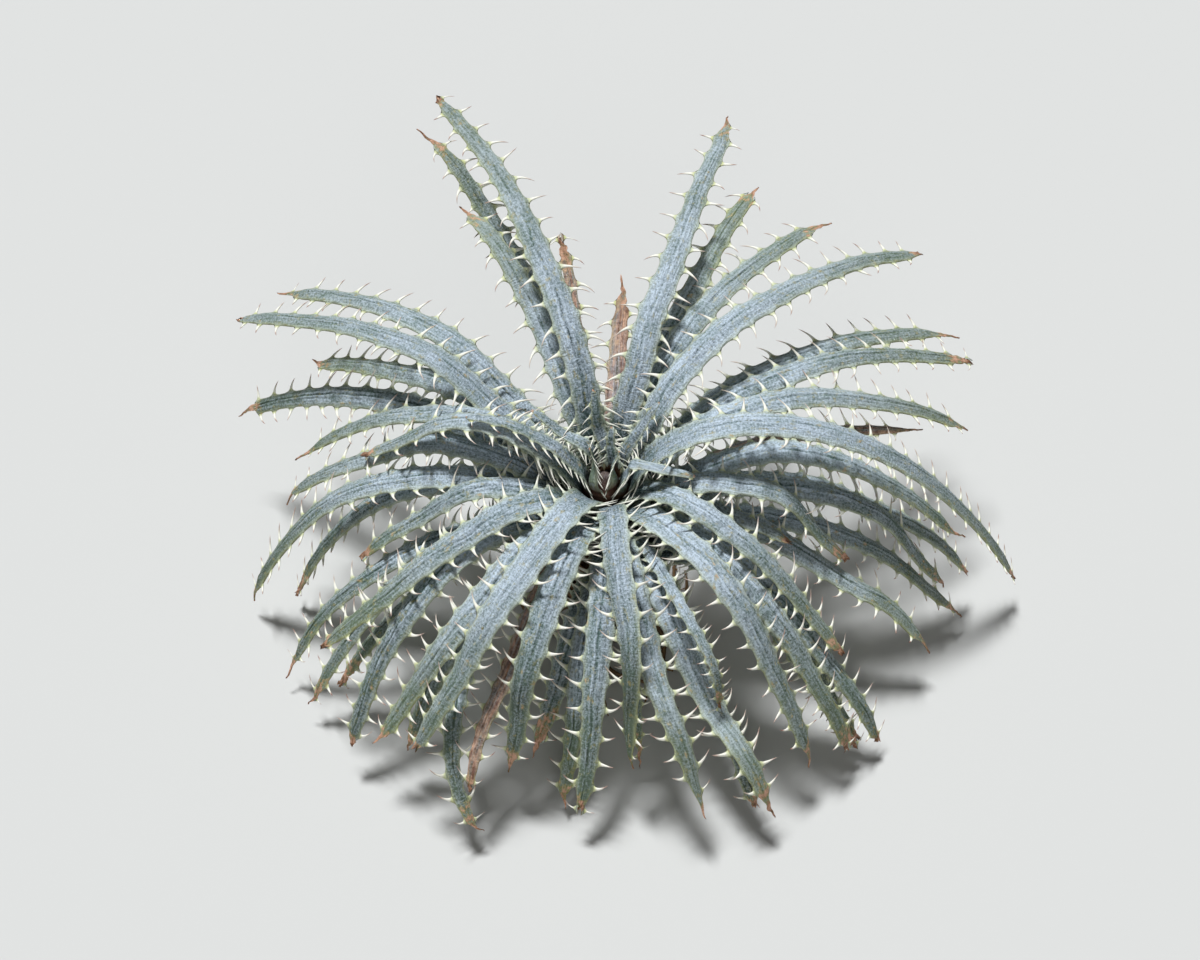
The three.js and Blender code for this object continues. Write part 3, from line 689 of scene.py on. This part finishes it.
def spine_curve(frame_here, hand, half, size, lean, hook, rise):
    """Points along a spine's middle, its last one the tip."""
    centre, forward, side, up = frame_here
    out = np.append(SPINE_OUT, SPINE_LENGTH)[:, None]
    free = np.maximum(0, out - WEB_TOP) / SPINE_LENGTH
    out = np.minimum(out, WEB_TOP) + free * SPINE_LENGTH * size
    bend = lean * free + hook * free**2
    points = centre + side * hand * (half - BAY_DEPTH + out * (1 - 0.12 * abs(hook) * free))
    points = points - forward * SPINE_LENGTH * size * bend
    return points + up * SPINE_LENGTH * size * (rise * free + 0.12 * free**2) - up * 0.3


def add_spines(skin, leaf, line, traits, spines, blocked):
    """Adds the spines of both margins, bent or shortened where they would touch another leaf."""
    r = traits.random
    for hand in (-1, 1):
        places = spines[hand]
        centre, *directions = frames_along(leaf, line, places / leaf.length)
        centre = centre + directions[1] * wandering(leaf, traits, places)[:, None]
        halves = blade_half_width(leaf, traits, places)
        for i, s in enumerate(places):
            here = (centre[i], *(direction[i] for direction in directions))
            base = 1 - smoothstep(s, *BASE_ENDS)
            size = spine_size(leaf, traits, s) * r.uniform(*SIZE_RANGE)
            lean = r.uniform(*LEAN_RANGE) + BASE_LEAN * base
            hook = r.uniform(*HOOK_RANGE) * mix(1, BASE_HOOK, base)
            tilt = r.uniform(*TILT_RANGE)
            for rise, share in SPINE_TRIES:
                curve = spine_curve(here, hand, halves[i], size * share, lean, hook, rise + tilt)
                if not blocked(curve):
                    break
            stout = mix(0.62, 1, share) * min(1, halves[i] / STOUT_FROM) * mix(0.75, 1, size)
            shares = [stout * mix(1, slimness, base) for slimness in BASE_SLIMNESS]
            browned = (1 - base) * mix(0.3, 1, s / leaf.length) * r.uniform(0.6, 1)
            add_spine(skin, curve, here[1], shares, browned, (s, traits.noise_place))


def add_spine(skin, curve, forward, shares, browned, place):
    """Adds one spine: rings round its curve, and its point."""
    long_share, high_share = shares
    along = unit(np.gradient(curve, axis=0))[:-1]
    width = unit(forward[None] - along * (along @ forward)[:, None])
    height = np.cross(along, width)
    turn = np.arange(SPINE_SIDES) / SPINE_SIDES * 2 * np.pi
    slim = np.where(SPINE_OUT < 1, mix(1, long_share, 0.4), long_share)
    long = (SPINE_LONG * slim)[:, None, None] * np.cos(turn)[None, :, None] * width[:, None]
    high = (SPINE_HIGH * high_share)[:, None, None] * np.sin(turn)[None, :, None] * height[:, None]
    points = np.vstack([(curve[:-1, None] + long + high).reshape(-1, 3), curve[-1]])
    count = len(SPINE_OUT)
    last = (count - 1) * SPINE_SIDES
    faces = ring_faces(count, SPINE_SIDES)[:-1]
    faces += [[last + i, last + (i + 1) % SPINE_SIDES, count * SPINE_SIDES] for i in range(SPINE_SIDES)]
    out = np.append(np.repeat(SPINE_OUT, SPINE_SIDES), SPINE_LENGTH) / SPINE_LENGTH
    where = coordinates(out * 8 + 60, *place)
    skin.add(points, faces, where, spine=np.clip(out, 0, 1), edge=0.7, scurf=0.6, browned=browned)


# ---- keeping spines off other leaves
BLADE_CLEARANCE = 1.7  # from a spine to a neighbour's middle surface
TESTED_POINTS = (5, 7, 9)  # of a spine's curve, the last its tip
CLOUD_DEPTH = 0.4  # under the upper side, in thicknesses


def surface_tree(lines, traits):
    """Points on every blade's middle surface, each with its leaf's index."""
    clouds = []
    for index, leaf in enumerate(ROSETTE):
        s = np.arange(3, leaf.length, 2.5)
        centre, _, side, up = frames_along(leaf, lines[index], s / leaf.length)
        half = blade_half_width(leaf, traits[index], s)
        thick = thickness(leaf, s / leaf.length)
        for across in (-1, -0.5, 0, 0.5, 1):
            cloud = centre + side * (across * half)[:, None] - up * (CLOUD_DEPTH * thick)[:, None]
            clouds += [(point, index) for point in cloud]
    tree = kdtree.KDTree(len(clouds))
    for i, (point, _) in enumerate(clouds):
        tree.insert(point, i)
    tree.balance()
    return tree, [owner for _, owner in clouds]


def blocked_by_others(tree, owners, index):
    """A test for a spine's curve that comes too near to another leaf."""
    def blocked(curve):
        return any(owners[found] != index
                   for t in TESTED_POINTS
                   for _, found, _ in tree.find_range(curve[t], BLADE_CLEARANCE))
    return blocked


# ---- materials
class Graph:
    """A material's nodes, made one by one."""

    def __init__(self, name):
        self.material = bpy.data.materials.new(name)
        self.material.use_nodes = True
        self.tree = self.material.node_tree
        self.shader = self.tree.nodes["Principled BSDF"]

    def node(self, kind, inputs=None, **settings):
        made = self.tree.nodes.new(kind)
        for key, value in settings.items():
            setattr(made, key, value)
        for key, value in (inputs or {}).items():
            self.feed(made.inputs[key], value)
        return made

    def feed(self, socket, value):
        if isinstance(value, bpy.types.NodeSocket):
            self.tree.links.new(value, socket)
        else:
            socket.default_value = value

    def paint(self, name):
        return self.node("ShaderNodeAttribute", attribute_name=name).outputs["Fac"]

    def noise(self, scale, detail, roughness=0.55):
        """Noise over the plant; its scale is in cycles a millimetre, across a leaf and along it."""
        where = self.node("ShaderNodeAttribute", attribute_name="where").outputs["Vector"]
        scaled = self.node("ShaderNodeVectorMath", {0: where, 1: scale}, operation="MULTIPLY").outputs[0]
        inputs = {"Vector": scaled, "Scale": 1.0, "Detail": detail, "Roughness": roughness}
        return self.node("ShaderNodeTexNoise", inputs).outputs["Fac"]

    def math(self, operation, a, b, clamp=False):
        return self.node("ShaderNodeMath", {0: a, 1: b}, operation=operation, use_clamp=clamp).outputs[0]

    def times(self, a, b):
        return self.math("MULTIPLY", a, b)

    def swing(self, value, size):
        """A value from 0 to 1 as one from -size / 2 to size / 2."""
        return self.times(self.math("SUBTRACT", value, 0.5), size)

    def remap(self, value, low, high, to_low=0.0, to_high=1.0):
        inputs = {"Value": value, "From Min": low, "From Max": high, "To Min": to_low, "To Max": to_high}
        return self.node("ShaderNodeMapRange", inputs, interpolation_type="SMOOTHSTEP").outputs[0]

    def blend(self, factor, a, b):
        return self.node("ShaderNodeMix", {0: factor, 6: a, 7: b}, data_type="RGBA").outputs[2]

    def bump(self, height, distance, strength, under=None):
        inputs = {"Height": height, "Distance": distance, "Strength": strength}
        if under is not None:
            inputs["Normal"] = under
        return self.node("ShaderNodeBump", inputs).outputs[0]

    def finish(self, colour, roughness, **others):
        for key, value in {"Base Color": colour, "Roughness": roughness, **others}.items():
            self.feed(self.shader.inputs[key], value)
        return self.material


def rgb(red, green, blue):
    """A colour given as it looks on a screen, 0 to 255, for a shader."""
    def linear(value):
        value /= 255
        return value / 12.92 if value <= 0.04045 else ((value + 0.055) / 1.055) ** 2.4
    return (linear(red), linear(green), linear(blue), 1.0)


GREEN = rgb(82, 104, 100)
DEEP_GREEN = rgb(48, 66, 68)
SILVER = rgb(202, 217, 232)
OLIVE = rgb(120, 132, 88)
RIM = rgb(206, 214, 184)
UNDER_GREEN = rgb(112, 128, 108)
PALE_WEB = rgb(212, 218, 200)
WEB = rgb(196, 200, 138)
YELLOWED = rgb(172, 164, 92)
IVORY = rgb(246, 244, 232)
SPINE_POINT = rgb(150, 88, 70)
DRY_PINK = rgb(218, 172, 146)
DRY_DARK = rgb(122, 72, 46)
SHEATH_BROWN = rgb(120, 74, 48)
BARK_DARK = rgb(54, 38, 28)
BARK_PALE = rgb(140, 108, 78)
BARK_WORN = rgb(170, 140, 106)
SCALE_EDGE = rgb(176, 146, 112)

# A leaf's patterns: the noise of each, the values between which it changes the scurf, and by how much.
LEAF_PATTERNS = {
    "grain": (((1.5, 1.1, 1.0), 3.0, 0.65), (0.36, 0.64), 0.5),
    "threads": (((1.9, 0.16, 1.0), 2.0, 0.6), (0.34, 0.66), 0.16),
    "bands": (((0.75, 0.045, 1.0), 2.0), (0.3, 0.7), 0.18),
    "patches": (((0.18, 0.08, 1.0), 2.0), (0.3, 0.7), 0.28),
    "wrinkles": (((0.4, 1.9, 1.0), 2.0, 0.5), (0.35, 0.65), 0.15),
}
RAGGEDNESS = 2.4  # of the border of what has dried


def leaf_material(name, dried):
    g = Graph(name)
    patterns = {key: g.noise(*noise) for key, (noise, _, _) in LEAF_PATTERNS.items()}
    colour = living_colour(g, patterns)
    colour = withered_colour(g, colour, patterns["bands"] if dried else None)
    surface = {"Specular IOR Level": 0.3, "Normal": leaf_relief(g, patterns)}
    return g.finish(spine_colour(g, colour), 0.62, **surface)


def living_colour(g, patterns):
    """Green under white scurf with painted light and shade, which the patterns break up, with an olive tinge
    and a pale rim.
    """
    cover_and_painted_light = g.paint("scurf")
    for key, (_, span, size) in LEAF_PATTERNS.items():
        cover_and_painted_light = g.math("ADD", cover_and_painted_light, g.swing(g.remap(patterns[key], *span), size))
    cover_and_painted_light = g.math("MAXIMUM", cover_and_painted_light, 0.0, clamp=True)
    ground = g.blend(g.remap(patterns["patches"], 0.35, 0.65), GREEN, DEEP_GREEN)
    ground = g.blend(g.paint("under"), ground, UNDER_GREEN)
    colour = g.blend(cover_and_painted_light, ground, SILVER)
    colour = g.blend(g.times(g.paint("ripe"), 0.5), colour, OLIVE)
    rim = g.blend(g.paint("ripe"), RIM, WEB)
    return g.blend(g.times(g.paint("edge"), 0.75), colour, rim)


def withered_colour(g, colour, bands):
    """Pink and rust where a leaf has dried, with a ragged yellow border, flecks and a brown base."""
    blotches = g.noise((0.55, 0.3, 1.0), 4.0, 0.6)
    rust = g.blend(g.remap(blotches, 0.35, 0.65), DRY_DARK, DRY_PINK)
    ragged = g.math("ADD", g.paint("dry"), g.swing(blotches, RAGGEDNESS))
    flecks = g.times(g.remap(g.noise((0.9, 0.4, 1.0), 4.0), 0.73, 0.8), 0.35)
    withered = g.math("MAXIMUM", flecks, g.remap(ragged, 0.35, 0.7, 0.0, 0.92))
    if bands is not None:
        withered = g.math("MAXIMUM", withered, g.remap(bands, 0.3, 0.7, 0.3, 0.85))
    colour = g.blend(g.times(g.remap(ragged, 0.1, 0.5), 0.5), colour, YELLOWED)
    colour = g.blend(withered, colour, rust)
    brown = g.times(g.remap(g.paint("sheath"), 0.1, 0.9), 0.85)
    return g.blend(brown, colour, SHEATH_BROWN)


def spine_colour(g, colour):
    """A pale web at a spine's foot, then ivory, and a brown point where the spine is browned."""
    web = g.blend(g.paint("browned"), PALE_WEB, WEB)
    colour = g.blend(g.remap(g.paint("spine"), 0.0, 0.12), colour, web)
    colour = g.blend(g.remap(g.paint("spine"), 0.12, 0.34), colour, IVORY)
    point = g.times(g.remap(g.paint("spine"), 0.5, 0.85), g.paint("browned"))
    return g.blend(point, colour, SPINE_POINT)


def leaf_relief(g, patterns):
    """Grain, threads and wrinkles on the blades, and none on the spines."""
    rough = g.math("SUBTRACT", 1.0, g.remap(g.paint("spine"), 0.0, 0.1))
    fine = g.bump(g.times(patterns["grain"], rough), 0.0005, 0.8)
    coarse = g.math("ADD", patterns["threads"], g.times(patterns["wrinkles"], 0.7))
    return g.bump(g.times(coarse, rough), 0.0009, 0.6, fine)


def stock_material():
    g = Graph("stock_bark")
    fibres = g.noise((1.4, 0.12, 1.4), 5.0, 0.65)
    worn = g.times(g.remap(g.noise((0.12, 0.1, 0.12), 3.0), 0.4, 0.7), 0.5)
    colour = g.blend(g.remap(fibres, 0.3, 0.7), BARK_DARK, BARK_PALE)
    colour = g.blend(worn, colour, BARK_WORN)
    colour = g.blend(g.times(g.paint("edge"), 0.6), colour, SCALE_EDGE)
    surface = {"Specular IOR Level": 0.2, "Normal": g.bump(fibres, 0.0007, 0.8)}
    return g.finish(colour, 0.85, **surface)


# ---- stock and roots
STOCK_SIDES = 72
STOCK_RINGS = 84
BARK_FOOT = (0.01, 6, FOOT_RADIUS - 0.5)  # radii of the rings that close the foot
BARK_WAVES = 14

SCALE_COUNT = 52
SCALE_COLUMNS = 15
SCALE_LENGTH = (9, 16)
SCALE_HALF_WIDTH = (6.5, 9)
SCALE_LIFT = (2, 22)

SOLID_SEED = 41
ROOT_COUNT = 16
ROOT_STEPS = 40
ROOT_START = (5, 25)  # height
ROOT_REACH = 46
ROOT_CURL = 50
ROOT_HEIGHT = 1.4
ROOTLETS = 44
ROOTLET_LENGTH = (5, 12)


def stock_radius(z):
    z = np.asarray(z, float)
    lower = mix(FOOT_RADIUS, STOCK_RADIUS, np.clip(z / LEAVES_FROM, 0, 1))
    upper = mix(STOCK_RADIUS, STOCK_TOP_RADIUS, np.clip((z - LEAVES_FROM) / (STOCK_TOP - LEAVES_FROM), 0, 1))
    return np.where(z < LEAVES_FROM, lower, upper)


def add_stock(skin):
    """The stock itself: a wrinkled column with a flat cut foot."""
    random = np.random.default_rng(7)
    foot = len(BARK_FOOT)
    z = np.concatenate([[0] * foot, np.linspace(0.3, STOCK_TOP, STOCK_RINGS - foot - 1), [STOCK_TOP]])
    radius = stock_radius(z) - 0.4
    radius[:foot] = BARK_FOOT
    radius[-1] = 0.01
    turn = circle(STOCK_SIDES)
    rough = np.zeros((STOCK_RINGS, STOCK_SIDES))
    for _ in range(BARK_WAVES):
        count = random.integers(2, 22)
        rise = random.uniform(0.05, 0.9)
        phase = random.uniform(0, 6.28)
        rough += 0.13 * np.sin(np.radians(turn)[None] * count + z[:, None] * rise + phase)
    rough[:foot] *= 0.2
    rough[-1] = 0
    rough = rough * np.minimum(1, z / 4)[:, None]
    where = coordinates(np.radians(turn)[None] * 16, z[:, None], 3.0)
    skin.add_rings(around(turn[None], radius[:, None] + rough, z[:, None]), where)


def add_scales(skin):
    """Papery bases of shed leaves, clasping the stock in a spiral."""
    random = np.random.default_rng(8)
    for index in range(SCALE_COUNT):
        add_scale(skin, index, random)


def add_scale(skin, index, random):
    foot = mix(3, LEAVES_FROM + 2, (index + 0.5) / SCALE_COUNT)
    length = random.uniform(*SCALE_LENGTH)
    half = random.uniform(*SCALE_HALF_WIDTH)
    lift = np.radians(random.uniform(*SCALE_LIFT))
    x = np.linspace(-1, 1, SCALE_COLUMNS)
    t = np.linspace(0, 1, 14)[:, None]
    torn = 1 - 0.3 * random.random(SCALE_COLUMNS) * (1 - x**2)
    radius = stock_radius(foot) + 0.1
    out = radius + np.sin(lift) * length * t * torn[None] ** 2 + 1.2 * t**3
    out = out - 0.9 * x[None] ** 2 * t
    height = foot + np.cos(lift) * length * t * torn[None]
    turn = index * GOLDEN_ANGLE + np.degrees(x[None] * half * (1 - 0.35 * t**2) / radius)
    outer = around(turn, out + 0.9 * (1 - 0.6 * t) + 0.22 * np.cos(x * 16)[None], height)
    inner = around(turn[:, ::-1], (out - 0.15)[:, ::-1], height[:, ::-1])
    across = np.concatenate([x * half, x[::-1] * half + 40])
    where = coordinates(across[None], height.mean(axis=1)[:, None], index * 7.0)
    skin.add_rings(np.concatenate([outer, inner], axis=1), where, edge=t**2)


def seeded(seed):
    """The same simple random draw as the solid roots have."""
    state = seed
    while True:
        state = state * 16807 % 2147483647
        yield state / 2147483647


def root_curve(index, draw):
    """A root's course, as its solid goes: down to the ground and out over it."""
    start = mix(*ROOT_START, next(draw))
    reach = ROOT_REACH * mix(0.7, 1, next(draw))
    curl = ROOT_CURL * (next(draw) - 0.5)
    along = np.linspace(0, 1, ROOT_STEPS)
    azimuth = index * GOLDEN_ANGLE + curl * along**2 + 9 * np.sin(7 * along + index)
    drop = np.maximum(0, 1 - along / 0.55) ** 2
    return around(azimuth, mix(FOOT_RADIUS - 4, reach, along**0.9), ROOT_HEIGHT + start * drop)


def rootlet_curve(parent, index, random):
    """A fine root that leaves its parent at a random step and sinks to the ground."""
    at = int(random.integers(12, 36))
    flat = np.array([1, 1, 0])
    away = random.uniform(-1, 1, 3) * flat
    outward = unit(parent[at] * flat)
    length = random.uniform(*ROOTLET_LENGTH)
    t = np.linspace(0, 1, 12)[:, None]
    curve = parent[at] + (outward * 0.6 + away) * length * t * flat
    curve[:, 2] = mix(parent[at][2], 0.6, smoothstep(t[:, 0], 0, 0.5))
    curve[:, 0] += 0.8 * np.sin(5 * t[:, 0] + index)
    return curve


def add_tube(skin, curve, radius, random, edge):
    """A wiry root: a tube with knots, thinning to its end."""
    along = unit(np.gradient(curve, axis=0))
    side = unit(np.cross(along, [0.0, 0.0, 1.0]) + 1e-6)
    up = np.cross(side, along)
    share = np.linspace(0, 1, len(curve))
    knots = waves(random, 4, 0.05, 0.2)(share)
    size = radius * (1 - 0.5 * share) * (1 + 0.14 * knots)
    turn = np.arange(8) / 8 * 2 * np.pi
    points = curve[:, None] + size[:, None, None] * (
        np.cos(turn)[None, :, None] * up[:, None] + np.sin(turn)[None, :, None] * side[:, None])
    points[..., 2] = np.maximum(points[..., 2], 0.15)
    where = coordinates(turn[None] * 2, share[:, None] * 50, random.uniform(0, 90))
    skin.add_rings(points, where, edge=edge)


def add_roots(skin):
    random = np.random.default_rng(9)
    draw = seeded(SOLID_SEED)
    mains = [root_curve(index, draw) for index in range(ROOT_COUNT)]
    for curve in mains:
        add_tube(skin, curve, 1.05, random, 0.35)
    for index in range(ROOTLETS):
        curve = rootlet_curve(mains[index % ROOT_COUNT], index, random)
        add_tube(skin, curve, 0.38, random, 0.7)


# ---- the heart's core
WRAP_DEPTH = 0.45  # of the grooves where one sheath wraps another
WRAPS = 4


def add_core(skin):
    """The closed bud that the youngest leaves stand on, wrapped in their sheaths."""
    z = mix(STOCK_TOP + GAP, HEART_TOP, np.linspace(0, 1, 26))
    shoulder_radius, shoulder = HEART_SHOULDER
    lower = mix(HEART_RADIUS, shoulder_radius, np.clip((z - STOCK_TOP) / (shoulder - STOCK_TOP), 0, 1))
    upper = mix(shoulder_radius, HEART_TOP_RADIUS, (z - shoulder) / (HEART_TOP - shoulder))
    radius = np.where(z < shoulder, lower, upper)
    radius[-1] = 0.3
    turn = circle(40)
    twisting = np.radians(turn)[None] * WRAPS + (z[:, None] - STOCK_TOP) * 0.14
    wrapped = WRAP_DEPTH * (1 - np.abs(np.sin(twisting / 2))) * np.minimum(1, radius / 3)[:, None]
    points = around(turn[None], radius[:, None] - wrapped, z[:, None])
    where = coordinates(np.radians(turn)[None] * 5, z[:, None], 2.0)
    brown = 1 - 0.4 * smoothstep(z, shoulder - 2, HEART_TOP)
    skin.add_rings(points, where, scurf=0.3, sheath=brown[:, None])


# ---- pieces
def seat(piece, slot, *nodes):
    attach(piece, "root")
    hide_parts(*nodes)


def leaf_skin(skin, index, lines, traits, tree, owners):
    """Adds one leaf, its blade and its spines."""
    leaf, line, own = ROSETTE[index], lines[index], traits[index]
    spines = {-1: spine_places(leaf, own), 1: spine_places(leaf, own)}
    blade(skin, leaf, line, own, spines)
    add_spines(skin, leaf, line, own, spines, blocked_by_others(tree, owners, index))


def make_plant():
    lines = spread(np.array([middle_line(leaf, foot) for leaf, foot in zip(ROSETTE, feet())]))
    traits = [Traits(index) for index in range(len(ROSETTE))]
    tree, owners = surface_tree(lines, traits)
    living = leaf_material("silver_leaf", dried=False)
    dried = leaf_material("withered_leaf", dried=True)
    for index, leaf in enumerate(LEAVES):
        skin = Skin()
        leaf_skin(skin, index, lines, traits, tree, owners)
        piece = skin.build(f"blade_{index + 1:02d}", dried if leaf.dry else living)
        seat(piece, "dried_leaf" if leaf.dry else "leaf", f"leaf_{index + 1:02d}")

    crown = Skin()
    for index in range(len(LEAVES), len(ROSETTE)):
        leaf_skin(crown, index, lines, traits, tree, owners)
    add_core(crown)
    seat(crown.build("heart_crown", living), "leaf", "heart")

    base = Skin()
    add_stock(base)
    add_scales(base)
    add_roots(base)
    seat(base.build("rooted_stock", stock_material()), "stock", "stock")


# ---- stage
VIEW_ELEVATION = 55
VIEW_DISTANCE = 1.0
VIEW_TARGET = Vector((0, 0, 0.075))  # this point of the plant lies at TARGET_PIXEL
IMAGE_SIZE = (1200, 960)
TARGET_PIXEL = (605, 505)
PIXEL_SIZE = 0.00038  # metres at the target
SENSOR_WIDTH = 36
FLOOR_COLOUR = (0.6, 0.6, 0.59, 1)
WORLD_COLOUR = (0.88, 0.91, 0.93, 1)


def make_camera():
    data = bpy.data.cameras.new("camera")
    data.sensor_width = SENSOR_WIDTH
    data.lens = SENSOR_WIDTH * VIEW_DISTANCE / (IMAGE_SIZE[0] * PIXEL_SIZE)
    data.shift_x = (IMAGE_SIZE[0] / 2 - TARGET_PIXEL[0]) / IMAGE_SIZE[0]
    data.shift_y = (TARGET_PIXEL[1] - IMAGE_SIZE[1] / 2) / IMAGE_SIZE[0]
    camera = bpy.data.objects.new("camera", data)
    elevation = math.radians(VIEW_ELEVATION)
    back = Vector((0, -math.cos(elevation), math.sin(elevation)))
    camera.location = VIEW_TARGET + back * VIEW_DISTANCE
    camera.rotation_euler = (math.radians(90 - VIEW_ELEVATION), 0, 0)
    bpy.context.scene.collection.objects.link(camera)
    bpy.context.scene.camera = camera


def add_light(name, place, width, strength, colour):
    """A far, wide light that shines from a place to the origin; its width is an angle."""
    data = bpy.data.lights.new(name, "SUN")
    data.angle = math.radians(width)
    data.energy = strength
    data.color = colour
    light = bpy.data.objects.new(name, data)
    light.location = place
    light.rotation_euler = (-Vector(place)).to_track_quat("-Z", "Y").to_euler()
    bpy.context.scene.collection.objects.link(light)


def make_floor():
    bpy.ops.mesh.primitive_plane_add(size=20, location=(0, 0, -0.0002))
    floor = bpy.context.object
    floor.name = "floor"
    floor.data.materials.append(Graph("floor").finish(FLOOR_COLOUR, 0.9))


def make_world():
    world = bpy.data.worlds.new("studio")
    world.use_nodes = True
    background = world.node_tree.nodes["Background"]
    background.inputs["Color"].default_value = WORLD_COLOUR
    background.inputs["Strength"].default_value = 0.075
    bpy.context.scene.world = world
    bpy.context.scene.view_settings.view_transform = "Standard"


make_plant()
make_floor()
make_world()
add_light("key", (-0.2, 0.3, 1.15), 11, 3.7, (0.97, 0.99, 1.0))
add_light("fill", (0.1, -1.0, 0.85), 28, 0.42, (1.0, 0.99, 0.97))
make_camera()
